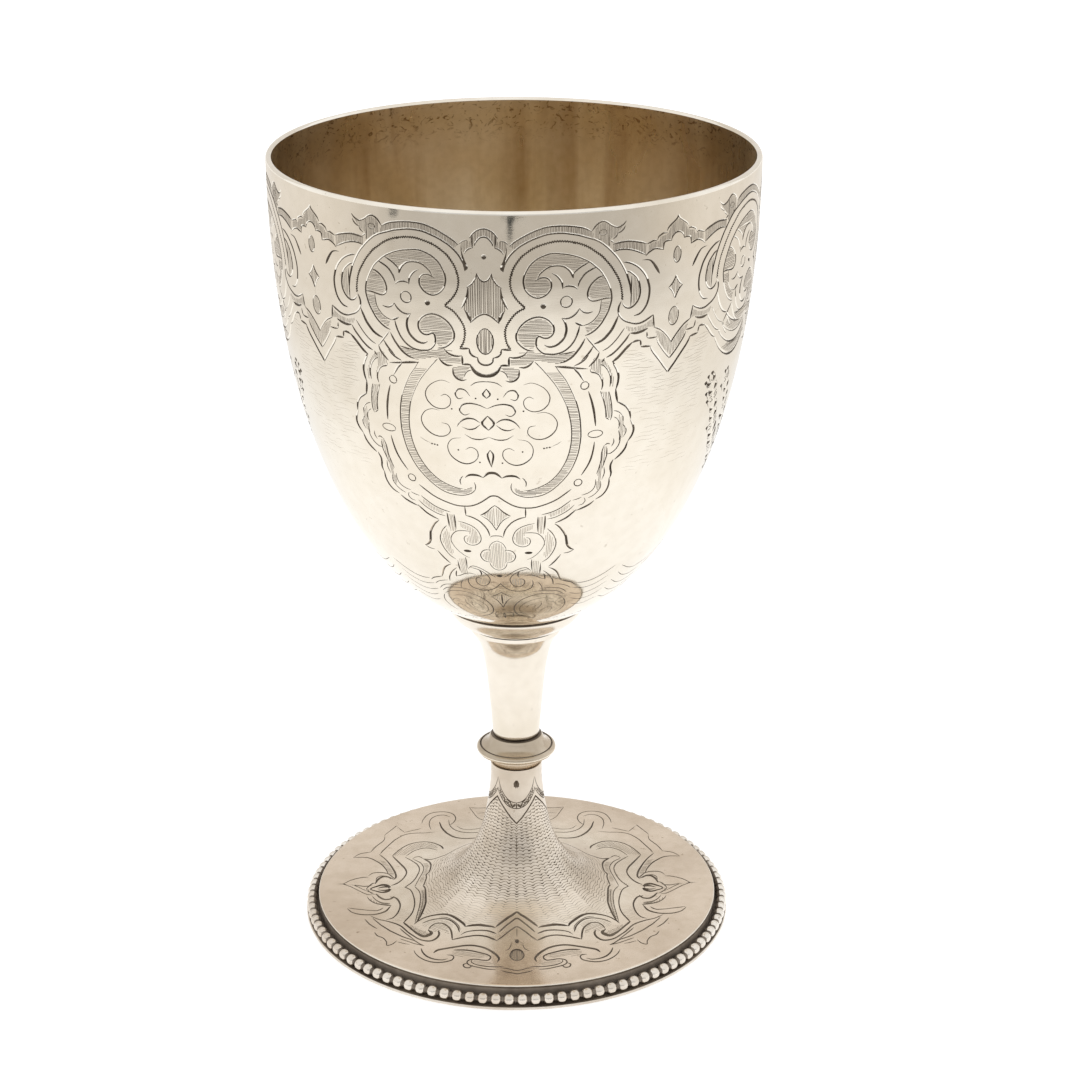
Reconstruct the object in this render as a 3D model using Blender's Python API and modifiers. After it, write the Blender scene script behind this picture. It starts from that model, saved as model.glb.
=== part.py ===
"""A stemmed silver goblet on a spreading round foot, as its separate soldered pieces.

Metres, +Z up. The origin is the centre of the foot's underside, so the goblet
stands on Z = 0 with its axis along +Z and its engraved front towards -Y.

The pieces, from the top down: the raised bowl, the ovolo stem head that it sits
in, the tapering hollow stem, the turned knop with a spigot up into the stem and
another down into the foot, the small collar below it, the trumpet foot, the
beaded border round the foot's edge, and the flat ring that it all stands on.
"""

import math

import bmesh
import bpy
import numpy as np

MM = 0.001

# ---- overall sizes, in millimetres
TOTAL_HEIGHT = 152.9
RIM_RADIUS = 44.53
JOINT_GAP = 0.3          # solder line left between neighbouring pieces

# ---- bowl
BOWL_TIP_Z = 62.38       # where the outer curve would reach the axis
BOWL_POWER_A = 2.17      # roundness of the shoulder
BOWL_POWER_B = 0.463     # steepness near the stem
BOWL_WALL = 0.75
LIP_THICKNESS = 1.15
LIP_BLEND = 4.0          # height over which the wall thickens to the lip

# ---- stem head, the ovolo moulding under the bowl
HEAD_RADIUS = 13.2
HEAD_FOOT_RADIUS = 9.05
HEAD_FOOT_Z = 60.8
HEAD_BORE = 6.2
HEAD_SPIGOT_RADIUS = 7.1
HEAD_SPIGOT_DEPTH = 1.6

# ---- stem: (height, outer radius) stations from the head down to the knop
STEM_STATIONS = (
    (60.5, 8.95), (59.2, 8.25), (57.6, 7.38), (55.6, 6.62), (53.0, 6.05),
    (49.5, 5.58), (45.5, 5.18), (41.5, 4.82), (37.5, 4.52),
)
STEM_WALL = 0.65

# ---- knop
KNOP_SEAT_Z = 37.2
KNOP_SEAT_RADIUS = 4.85
KNOP_GROOVE_RADIUS = 6.82
KNOP_GROOVE_Z = 34.95
KNOP_EDGE_RADIUS = 7.7
KNOP_EDGE_ROUND = 0.75
KNOP_EDGE_Z = 34.4
KNOP_UNDER_Z = 33.4
SPIGOT_RADIUS = 3.4
SPIGOT_TOP_Z = 40.2
SPIGOT_LOW_Z = 29.6
VENT_RADIUS = 1.4

# ---- collar between the knop and the foot
COLLAR_TOP_Z = 33.1
COLLAR_LOW_Z = 31.5
COLLAR_RADIUS = 4.85
COLLAR_BORE = 3.75

# ---- foot: (radius, height) stations down the trumpet and across the plate
FOOT_STATIONS = (
    (4.98, 31.2), (5.02, 28.0), (5.30, 25.0), (5.75, 22.0), (6.36, 19.0),
    (7.22, 16.0), (8.50, 13.0), (10.00, 10.6), (11.80, 8.5), (14.00, 6.75),
    (17.00, 5.45), (21.00, 4.75), (27.00, 4.30), (33.00, 4.05), (38.60, 3.85),
)
FOOT_EDGE_RADIUS = 39.35
FOOT_EDGE_LOW_Z = 0.95
FOOT_WALL = 0.7

# ---- beaded border
BEAD_COUNT = 104
BEAD_RING_RADIUS = 40.75
BEAD_Z = 1.85
BEAD_RADIUS = 0.93
BEAD_NECK_RADIUS = 0.58
BEAD_SIDES = 6

# ---- base ring
BASE_OUTER_RADIUS = 41.8
BASE_INNER_RADIUS = 38.2
BASE_THICKNESS = 0.6

# ---- facets round the axis
BIG_SEGMENTS = 48
SMALL_SEGMENTS = 32


def clear_scene():
    for obj in list(bpy.data.objects):
        bpy.data.objects.remove(obj, do_unlink=True)


def new_collection(name):
    collection = bpy.data.collections.new(name)
    bpy.context.scene.collection.children.link(collection)
    return collection


def metal(name, colour, roughness):
    material = bpy.data.materials.new(name)
    material.use_nodes = True
    shader = material.node_tree.nodes["Principled BSDF"]
    shader.inputs["Base Color"].default_value = (*colour, 1.0)
    shader.inputs["Metallic"].default_value = 1.0
    shader.inputs["Roughness"].default_value = roughness
    material.diffuse_color = (*colour, 1.0)
    return material


def smooth_through(stations, per_span):
    """Points on a Catmull-Rom curve through the stations, centripetal enough for even spans."""
    p = [np.array(s, float) for s in stations]
    p = [2 * p[0] - p[1]] + p + [2 * p[-1] - p[-2]]
    points = []
    for i in range(1, len(p) - 2):
        a, b, c, d = p[i - 1], p[i], p[i + 1], p[i + 2]
        for k in range(per_span):
            t = k / per_span
            points.append(
                0.5 * (2 * b + (c - a) * t + (2 * a - 5 * b + 4 * c - d) * t**2
                       + (3 * b - a - 3 * c + d) * t**3)
            )
    points.append(p[-2])
    return [tuple(q) for q in points]


def offset(profile, distance):
    """The profile moved sideways, inwards for one that runs down an outer side, by a distance."""
    pts = np.array(profile, float)
    along = np.gradient(pts, axis=0)
    along /= np.linalg.norm(along, axis=1)[:, None]
    normal = np.stack([along[:, 1], -along[:, 0]], axis=1)
    return [tuple(q) for q in pts + normal * distance]


def arc(centre, radius, start, end, steps):
    """Points on an arc in the profile plane; angles in degrees, 0 outwards, 90 up."""
    return [
        (centre[0] + radius * math.cos(math.radians(start + (end - start) * k / steps)),
         centre[1] + radius * math.sin(math.radians(start + (end - start) * k / steps)))
        for k in range(steps + 1)
    ]


def lathe(name, profile, segments, material, collection, closed=True):
    """A turned piece: the profile, in millimetres, swept once round Z."""
    mesh = bpy.data.meshes.new(name)
    verts = [(r * MM, 0.0, z * MM) for r, z in profile]
    edges = [(i, i + 1) for i in range(len(verts) - 1)]
    if closed:
        edges.append((len(verts) - 1, 0))
    mesh.from_pydata(verts, edges, [])
    obj = bpy.data.objects.new(name, mesh)
    collection.objects.link(obj)
    mesh.materials.append(material)
    screw = obj.modifiers.new("Turn", "SCREW")
    screw.axis = "Z"
    screw.angle = 2 * math.pi
    screw.steps = segments
    screw.render_steps = segments
    screw.use_merge_vertices = True
    screw.merge_threshold = 0.00001
    screw.use_smooth_shade = True
    return obj


def bowl_radius(z):
    t = (z - BOWL_TIP_Z) / (TOTAL_HEIGHT - BOWL_TIP_Z)
    t = min(max(t, 0.0), 1.0)
    return RIM_RADIUS * (1.0 - (1.0 - t) ** BOWL_POWER_A) ** BOWL_POWER_B


def bowl_profile():
    """Inner bottom, up the gilt inside, over the rounded lip, down the engraved outside."""
    share = [0.0, 0.012, 0.035, 0.07, 0.115, 0.17, 0.235, 0.31, 0.395, 0.49,
             0.59, 0.69, 0.79, 0.88, 0.945, 0.985]
    outer = []
    for s in reversed(share):
        z = BOWL_TIP_Z + s * (TOTAL_HEIGHT - LIP_THICKNESS / 2 - BOWL_TIP_Z)
        outer.append((bowl_radius(z), z))
    lip_z = TOTAL_HEIGHT - LIP_THICKNESS / 2
    lip = arc((RIM_RADIUS - LIP_THICKNESS / 2, lip_z), LIP_THICKNESS / 2, 180, 0, 6)
    moved = offset(outer[:-1], BOWL_WALL)
    inner = []
    for r, z in moved:
        thicker = max(0.0, 1.0 - (lip_z - z) / LIP_BLEND)
        inner.append((r - (LIP_THICKNESS - BOWL_WALL) * thicker, z))
    inner = [(0.0, BOWL_TIP_Z + BOWL_WALL)] + [
        q for q in reversed(inner) if q[0] > 2.0 and q[1] < lip_z - 0.4
    ]
    return inner + lip + outer


def head_profile():
    """The ovolo: down its bulging outside, in at the foot, down and up the spigot, out under the bowl."""
    top_r = HEAD_RADIUS
    top_z = bowl_height_at(top_r) - JOINT_GAP * 1.15
    ovolo = []
    for k in range(7):
        t = k / 6
        r = top_r + (HEAD_FOOT_RADIUS - top_r) * t
        z = top_z + (HEAD_FOOT_Z - top_z) * t
        bulge = 0.62 * math.sin(math.pi * t)
        ovolo.append((r + bulge * 0.72, z - bulge * 0.70))
    ovolo[0] = (top_r, top_z)
    spigot = [
        (HEAD_SPIGOT_RADIUS, HEAD_FOOT_Z),
        (HEAD_SPIGOT_RADIUS, HEAD_FOOT_Z - HEAD_SPIGOT_DEPTH),
        (HEAD_BORE, HEAD_FOOT_Z - HEAD_SPIGOT_DEPTH),
    ]
    seat = []
    for k in range(5):
        r = HEAD_BORE + (top_r - HEAD_BORE) * k / 5
        seat.append((r, bowl_height_at(r) - JOINT_GAP * 1.15))
    return ovolo + spigot + seat


def bowl_height_at(radius):
    """Height of the bowl's outer curve where it has this radius."""
    share = (radius / RIM_RADIUS) ** (1.0 / BOWL_POWER_B)
    return BOWL_TIP_Z + (TOTAL_HEIGHT - BOWL_TIP_Z) * (1.0 - (1.0 - share) ** (1.0 / BOWL_POWER_A))


def stem_profile():
    outer = smooth_through([(r, z) for z, r in STEM_STATIONS], 1)
    inner = offset(outer, STEM_WALL)
    inner[0] = (inner[0][0], outer[0][1])
    inner[0] = (HEAD_SPIGOT_RADIUS + JOINT_GAP * 1.3, outer[0][1])
    inner[1] = (HEAD_SPIGOT_RADIUS + JOINT_GAP * 1.3 - 0.02, inner[1][1] - 0.35)
    inner[-1] = (inner[-1][0], outer[-1][1])
    return outer + inner[::-1]


def knop_profile():
    """From the top spigot out over the dished top, round the edge, and down the lower spigot."""
    top = [(SPIGOT_RADIUS, SPIGOT_TOP_Z), (SPIGOT_RADIUS, KNOP_SEAT_Z),
           (KNOP_SEAT_RADIUS, KNOP_SEAT_Z)]
    dish = []
    for k in range(1, 5):
        t = k / 4
        r = KNOP_SEAT_RADIUS + (KNOP_GROOVE_RADIUS - KNOP_SEAT_RADIUS) * t
        z = KNOP_SEAT_Z - 0.15 + (KNOP_GROOVE_Z - KNOP_SEAT_Z + 0.15) * t
        hollow = 0.28 * math.sin(math.pi * t)
        dish.append((r - hollow * 0.75, z - hollow * 0.65))
    centre = (KNOP_EDGE_RADIUS - KNOP_EDGE_ROUND, KNOP_EDGE_Z)
    edge = arc(centre, KNOP_EDGE_ROUND, 80, -75, 8)
    under = [(5.6, 33.55), (KNOP_SEAT_RADIUS, KNOP_UNDER_Z), (SPIGOT_RADIUS, KNOP_UNDER_Z),
             (SPIGOT_RADIUS, SPIGOT_LOW_Z), (VENT_RADIUS, SPIGOT_LOW_Z),
             (VENT_RADIUS, SPIGOT_TOP_Z)]
    return top + dish + edge + under


def collar_profile():
    mid = (COLLAR_TOP_Z + COLLAR_LOW_Z) / 2
    half = (COLLAR_TOP_Z - COLLAR_LOW_Z) / 2
    outer = []
    for k in range(7):
        a = math.radians(90 - 30 * k)
        outer.append((COLLAR_RADIUS - 0.3 + 0.3 * math.cos(a), mid + half * math.sin(a)))
    return outer + [(COLLAR_BORE, COLLAR_LOW_Z), (COLLAR_BORE, COLLAR_TOP_Z)]


def foot_profile():
    top = smooth_through(FOOT_STATIONS, 1)
    edge = arc((FOOT_EDGE_RADIUS - 0.45, 3.38), 0.45, 70, 0, 3)
    outer = top[:-1] + [FOOT_STATIONS[-1]] + edge + [(FOOT_EDGE_RADIUS, FOOT_EDGE_LOW_Z)]
    inner_wall = FOOT_EDGE_RADIUS - FOOT_WALL
    under = offset(top, FOOT_WALL)
    under[0] = (under[0][0], FOOT_STATIONS[0][1])
    under = [q for q in under if q[0] < inner_wall - 1.5]
    return outer + [(inner_wall, FOOT_EDGE_LOW_Z), (inner_wall, 2.75), (inner_wall - 0.6, 3.1)] + under[::-1]


def base_profile():
    r = BASE_OUTER_RADIUS
    return [(r - 0.15, BASE_THICKNESS), (r, BASE_THICKNESS - 0.15), (r, 0.0),
            (BASE_INNER_RADIUS, 0.0), (BASE_INNER_RADIUS, BASE_THICKNESS)]


def beaded_border(name, material, collection):
    """A round wire swept round the foot, then pinched between each bead and the next."""
    mesh = bpy.data.meshes.new(name)
    bm = bmesh.new()
    ring = bmesh.ops.create_circle(bm, cap_ends=False, radius=BEAD_RADIUS * MM, segments=BEAD_SIDES)["verts"]
    for v in ring:
        v.co = ((BEAD_RING_RADIUS * MM + v.co.x), 0.0, (BEAD_Z * MM + v.co.y))
    edges = list(bm.edges)
    bmesh.ops.spin(bm, geom=list(bm.verts) + edges, cent=(0, 0, 0), axis=(0, 0, 1),
                   angle=2 * math.pi, steps=2 * BEAD_COUNT, use_merge=True)
    bmesh.ops.remove_doubles(bm, verts=bm.verts, dist=0.00001)
    pinch = BEAD_NECK_RADIUS / BEAD_RADIUS
    for v in bm.verts:
        angle = math.atan2(v.co.y, v.co.x)
        share = 0.5 + 0.5 * math.cos(BEAD_COUNT * angle)
        scale = pinch + (1.0 - pinch) * share
        radius = math.hypot(v.co.x, v.co.y)
        new_radius = BEAD_RING_RADIUS * MM + (radius - BEAD_RING_RADIUS * MM) * scale
        v.co.x *= new_radius / radius
        v.co.y *= new_radius / radius
        v.co.z = BEAD_Z * MM + (v.co.z - BEAD_Z * MM) * scale
    bmesh.ops.recalc_face_normals(bm, faces=bm.faces)
    for f in bm.faces:
        f.smooth = True
    bm.to_mesh(mesh)
    bm.free()
    mesh.materials.append(material)
    obj = bpy.data.objects.new(name, mesh)
    collection.objects.link(obj)
    return obj


def main():
    clear_scene()
    parts = new_collection("goblet")
    silver = (0.80, 0.74, 0.66)
    lathe("bowl", bowl_profile(), BIG_SEGMENTS,
          metal("bowl_silver", silver, 0.22), parts, closed=False)
    lathe("stem_head", head_profile(), SMALL_SEGMENTS,
          metal("stem_head_silver", (0.81, 0.76, 0.68), 0.2), parts)
    lathe("stem", stem_profile(), SMALL_SEGMENTS,
          metal("stem_silver", (0.84, 0.79, 0.71), 0.25), parts)
    lathe("knop", knop_profile(), SMALL_SEGMENTS,
          metal("knop_silver", (0.72, 0.67, 0.59), 0.3), parts)
    lathe("foot_collar", collar_profile(), SMALL_SEGMENTS,
          metal("foot_collar_silver", (0.7, 0.65, 0.57), 0.3), parts)
    lathe("foot", foot_profile(), BIG_SEGMENTS,
          metal("foot_silver", (0.76, 0.70, 0.62), 0.25), parts)
    beaded_border("bead_border", metal("bead_border_silver", (0.7, 0.65, 0.58), 0.25), parts)
    lathe("base_ring", base_profile(), BIG_SEGMENTS,
          metal("base_ring_silver", (0.5, 0.45, 0.38), 0.4), parts)


main()
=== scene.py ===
"""The looks of a stemmed silver goblet: an engraved bowl, gilt inside, on a spreading engraved foot.

Every engraved line is a real cut in the sheet. A cut is drawn as a path on the
unrolled surface, given the width of a graver's stroke, and set into the mesh as
a shallow V whose walls carry their own tarnished material; on the bowl's wide cuts
the upper wall is painted bright instead, as a painted highlight. The bowl is built
from two half panels that repeat in mirror pairs round it, and the foot from one
quarter.
"""

import math
import random

import bpy
import numpy as np
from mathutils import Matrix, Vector
from mathutils.geometry import delaunay_2d_cdt


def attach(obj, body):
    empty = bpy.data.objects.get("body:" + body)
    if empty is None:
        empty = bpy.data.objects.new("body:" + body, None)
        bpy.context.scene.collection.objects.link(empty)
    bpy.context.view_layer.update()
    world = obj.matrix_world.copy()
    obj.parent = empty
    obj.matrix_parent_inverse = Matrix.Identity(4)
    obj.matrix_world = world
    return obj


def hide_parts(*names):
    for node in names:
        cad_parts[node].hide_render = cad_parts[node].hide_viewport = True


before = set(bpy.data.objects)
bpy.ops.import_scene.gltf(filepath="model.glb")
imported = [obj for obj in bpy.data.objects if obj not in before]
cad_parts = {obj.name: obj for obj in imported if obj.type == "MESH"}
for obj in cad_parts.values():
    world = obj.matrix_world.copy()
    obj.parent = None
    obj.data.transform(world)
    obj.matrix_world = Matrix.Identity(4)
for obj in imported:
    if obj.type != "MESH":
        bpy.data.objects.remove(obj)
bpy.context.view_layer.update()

MM = 0.001
SLOPE = 0.62             # depth of a cut for each millimetre in from its edge
DEEP, FINE, DARK, FAINT = 0, 1, 2, 3      # kinds of cut

# ---- bowl, in millimetres
HEIGHT = 152.9
RIM = 44.53
TIP_Z = 62.38
POWER_A = 2.17
POWER_B = 0.463
WALL = 0.75
LIP = 1.15
HALF_PANEL = RIM * math.pi / 4      # width of half a panel at the rim
FRONT_AXIS = -6.6                   # degrees that the front panel is turned to the left
LEAN = 0.83                         # mm that the lower engraving has wandered round


# =====================================================================
# turned surfaces
# =====================================================================

def bowl_radius(z):
    t = np.clip((np.asarray(z, float) - TIP_Z) / (HEIGHT - TIP_Z), 0, 1)
    return RIM * (1 - (1 - t) ** POWER_A) ** POWER_B


class Profile:
    """A turned outside: stations down the surface, read by arc length."""

    def __init__(self, r, z):
        self.r = np.asarray(r, float)
        self.z = np.asarray(z, float)
        self.s = np.concatenate([[0], np.cumsum(np.hypot(np.diff(self.r), np.diff(self.z)))])
        dr = np.gradient(self.r, self.s)
        dz = np.gradient(self.z, self.s)
        size = np.hypot(dr, dz)
        self.nr = -dz / size
        self.nz = dr / size

    def at(self, s):
        return tuple(np.interp(s, self.s, a) for a in (self.r, self.z, self.nr, self.nz))


_down = HEIGHT - (HEIGHT - TIP_Z) * (1 - np.cos(np.linspace(0, math.pi / 2, 3000)))
BOWL = Profile(bowl_radius(_down), _down)


def smooth_stations(stations, per_span=16):
    p = [np.array(q, float) for q in stations]
    p = [2 * p[0] - p[1]] + p + [2 * p[-1] - p[-2]]
    out = []
    for i in range(1, len(p) - 2):
        a, b, c, d = p[i - 1], p[i], p[i + 1], p[i + 2]
        for k in range(per_span):
            t = k / per_span
            out.append(0.5 * (2 * b + (c - a) * t + (2 * a - 5 * b + 4 * c - d) * t ** 2
                              + (3 * b - a - 3 * c + d) * t ** 3))
    out.append(p[-2])
    return np.array(out)


FOOT_STATIONS = (
    (4.98, 31.28), (5.02, 28.0), (5.30, 25.0), (5.75, 22.0), (6.36, 19.0),
    (7.22, 16.0), (8.50, 13.0), (10.00, 10.6), (11.80, 8.5), (14.00, 6.75),
    (17.00, 5.45), (21.00, 4.75), (27.00, 4.30), (33.00, 4.05), (38.60, 3.85),
)
_foot = smooth_stations(FOOT_STATIONS)
FOOT = Profile(_foot[:, 0], _foot[:, 1])
# the foot is drawn in (turn, stretch): the stretch grows by the surface length over the radius,
# so that a shape keeps its angles from the narrow neck to the wide plate
FOOT_Q = np.concatenate([[0], np.cumsum(np.diff(FOOT.s) / (0.5 * (FOOT.r[1:] + FOOT.r[:-1])))])


# =====================================================================
# strokes
# =====================================================================

def curve_through(points, per_span=5):
    """A smooth path through the points; two points give a straight one."""
    pts = np.array(points, float)
    if len(pts) < 3:
        n = per_span
        t = np.linspace(0, 1, n + 1)[:, None]
        return pts[0] * (1 - t) + pts[-1] * t
    out = []
    ext = [2 * pts[0] - pts[1]] + list(pts) + [2 * pts[-1] - pts[-2]]
    for i in range(1, len(ext) - 2):
        p0, p1, p2, p3 = ext[i - 1:i + 3]
        t0 = 0.0
        t1 = t0 + max(np.linalg.norm(p1 - p0), 1e-6) ** 0.5
        t2 = t1 + max(np.linalg.norm(p2 - p1), 1e-6) ** 0.5
        t3 = t2 + max(np.linalg.norm(p3 - p2), 1e-6) ** 0.5
        for k in range(per_span):
            t = t1 + (t2 - t1) * k / per_span
            a1 = (t1 - t) / (t1 - t0) * p0 + (t - t0) / (t1 - t0) * p1
            a2 = (t2 - t) / (t2 - t1) * p1 + (t - t1) / (t2 - t1) * p2
            a3 = (t3 - t) / (t3 - t2) * p2 + (t - t2) / (t3 - t2) * p3
            b1 = (t2 - t) / (t2 - t0) * a1 + (t - t0) / (t2 - t0) * a2
            b2 = (t3 - t) / (t3 - t1) * a2 + (t - t1) / (t3 - t1) * a3
            out.append((t2 - t) / (t2 - t1) * b1 + (t - t1) / (t2 - t1) * b2)
    out.append(pts[-1])
    return np.array(out)


def thin_out(pts, width, tolerance):
    """Keeps the points that the path and its width need."""
    data = np.column_stack([pts, width])
    keep = np.zeros(len(data), bool)
    keep[0] = keep[-1] = True
    todo = [(0, len(data) - 1)]
    while todo:
        a, b = todo.pop()
        if b - a < 2:
            continue
        p, q = data[a], data[b]
        line = q - p
        size = max(float(line @ line), 1e-12)
        rel = data[a + 1:b] - p
        t = np.clip(rel @ line / size, 0, 1)[:, None]
        off = np.linalg.norm(rel - t * line, axis=1)
        k = int(np.argmax(off))
        if off[k] > tolerance:
            keep[a + 1 + k] = True
            todo += [(a, a + 1 + k), (a + 1 + k, b)]
    return np.nonzero(keep)[0]


class Drawing:
    """Strokes on one unrolled surface. The metric gives true millimetres for each step across and down."""

    def __init__(self, metric, two_walls=True):
        self.metric = metric
        self.two_walls = two_walls
        self.paths = []          # (centre points, half widths in mm, kind of cut)
        self.kind = DEEP
        self.random = random.Random(7)

    def put(self, pts, half):
        self.paths.append((np.asarray(pts, float), np.asarray(half, float), self.kind))

    def stroke(self, points, width=0.28, ends=(1, 1), smooth=True, taper=0.75):
        """A cut along the points. Ends of 1 thin and lift out and ends of 0 stay blunt.
        A tuple of widths is spread along it."""
        pts = curve_through(points) if smooth else np.array(points, float)
        if not smooth and len(pts) > 1:
            pts = np.concatenate([curve_through(pts[i:i + 2], 3)[:-1] for i in range(len(pts) - 1)] + [pts[-1:]])
        kx, ky = self.metric(pts[:, 1])
        step = np.diff(pts, axis=0)
        length = np.concatenate([[0], np.cumsum(np.hypot(step[:, 0] * 0.5 * (kx[1:] + kx[:-1]),
                                                         step[:, 1] * 0.5 * (ky[1:] + ky[:-1])))])
        total = max(length[-1], 1e-6)
        t = length / total
        if isinstance(width, (tuple, list)):
            w = np.interp(t, np.linspace(0, 1, len(width)), width)
        else:
            w = np.full(len(pts), float(width))
        if self.two_walls:
            if self.kind == DEEP:
                w = w * np.interp(w, (0.15, 0.22), (1.0, 1.24))
            w = w * np.interp(pts[:, 1], (46, 54, 62, 72), (1.0, 0.8, 0.68, 0.62))
        run = min(taper, 0.3 * total)
        if ends[0]:
            w = w * (0.42 + 0.58 * np.clip(length / run, 0, 1))
        if ends[1]:
            w = w * (0.42 + 0.58 * np.clip((total - length) / run, 0, 1))
        mean = np.array([kx.mean(), ky.mean()])
        used = thin_out(pts * mean, w * 0.5, 0.018)
        pts, w = pts[used], w[used]
        for side, at, inner in ((0, 0, 1), (1, -1, -2)):
            if ends[side]:
                way = (pts[at] - pts[inner]) * mean
                way /= max(np.linalg.norm(way), 1e-9)
                tip = pts[at] + way * max(0.06, 0.7 * w[at]) / mean
                if side:
                    pts, w = np.vstack([pts, tip]), np.append(w, 0)
                else:
                    pts, w = np.vstack([tip, pts]), np.append(0, w)
        self.put(pts, w * 0.5)

    def dot(self, x, y, rx, ry=None):
        """A round or oval pit, in true millimetres across and down."""
        ry = ry or rx
        kx, ky = (float(k[0]) for k in self.metric(np.array([y])))
        t = np.array([-1, -0.82, -0.4, 0, 0.4, 0.82, 1])
        if rx >= ry:
            pts = np.column_stack([x + t * rx / kx, np.full(7, y)])
            half = ry * np.sqrt(1 - t ** 2)
        else:
            pts = np.column_stack([np.full(7, x), y + t * ry / ky])
            half = rx * np.sqrt(1 - t ** 2)
        self.put(pts, half)

    def ring(self, x, y, rx, ry=None, width=0.2, start=0):
        """A closed round or oval line."""
        ry = ry or rx
        kx, ky = (float(k[0]) for k in self.metric(np.array([y])))
        a = np.radians(np.linspace(start, start + 360, 19))
        pts = np.column_stack([x + rx * np.sin(a) / kx, y - ry * np.cos(a) / ky])
        w = width * (0.85 + 0.3 * np.sin(a * 0.5) ** 2)
        self.put(pts, w * 0.5)

    def hatch(self, outline, way="v", pitch=0.21, width=0.1, smooth=False, margin=0.03, wander=0.04, shade=FINE):
        """Fine parallel cuts that shade an outlined patch: v runs down, h across, or an angle in degrees."""
        kind, self.kind = self.kind, shade
        pitch, width = pitch * 1.3, width * 1.3
        if self.two_walls and min(q[1] for q in outline) > 50:
            self.kind, width = FAINT, width * 0.9
        shape = curve_through(list(outline) + [outline[0]], 4) if smooth else np.array(list(outline) + [outline[0]], float)
        kx, ky = (float(k[0]) for k in self.metric(np.array([shape[:, 1].mean()])))
        true = shape * (kx, ky)
        angle = {"v": 90.0, "h": 0.0}.get(way, way)
        a = math.radians(angle)
        along = np.array([math.cos(a), math.sin(a)])
        side = np.array([-along[1], along[0]])
        u, v = true @ along, true @ side
        level = v.min() + pitch * 0.6
        while level < v.max() - 0.03:
            lean = level + self.random.uniform(-0.3, 0.3) * pitch * 0.5
            cuts = []
            for i in range(len(true) - 1):
                if (v[i] > lean) != (v[i + 1] > lean):
                    t = (lean - v[i]) / (v[i + 1] - v[i])
                    cuts.append(u[i] + t * (u[i + 1] - u[i]))
            cuts.sort()
            for p, q in zip(cuts[::2], cuts[1::2]):
                p += margin * self.random.uniform(0.5, 1.4)
                q -= margin * self.random.uniform(0.5, 1.4)
                if q - p < 0.3:
                    continue
                turn = self.random.uniform(-wander, wander)
                ends = [along * p + side * (lean - turn), along * q + side * (lean + turn)]
                w = width * self.random.uniform(0.85, 1.15)
                self.put(np.array(ends) / (kx, ky), np.array([w, w]) * 0.5)
            level += pitch * self.random.uniform(0.9, 1.1)
        self.kind = kind

    def rope(self, points, pitch=0.21, swing=0.1, width=0.33):
        """A line cut with a rocking graver, which leaves fine teeth along it."""
        pts = curve_through(points, 10)
        kx, ky = self.metric(pts[:, 1])
        d = np.diff(pts, axis=0)
        run = np.concatenate([[0], np.cumsum(np.hypot(d[:, 0] * kx[1:], d[:, 1] * ky[1:]))])
        out, half = [], []
        count = int(run[-1] / pitch)
        for n in range(count + 1):
            at = run[-1] * n / count
            p = np.array([np.interp(at, run, pts[:, 0]), np.interp(at, run, pts[:, 1])])
            q = np.array([np.interp(at + 0.04, run, pts[:, 0]), np.interp(at + 0.04, run, pts[:, 1])])
            o = np.array([np.interp(at - 0.04, run, pts[:, 0]), np.interp(at - 0.04, run, pts[:, 1])])
            k = np.array([float(m[0]) for m in self.metric(np.array([p[1]]))])
            way = (q - o) * k
            way /= max(np.linalg.norm(way), 1e-9)
            out.append(p + np.array([-way[1], way[0]]) * swing * (1 if n % 2 else -1) / k)
            half.append(0 if n in (0, count) else 0.5 * width * self.random.uniform(0.88, 1.12))
        kind, self.kind = self.kind, DARK
        self.put(out, half)
        self.kind = kind


# =====================================================================
# setting the strokes into a surface
# =====================================================================

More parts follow.
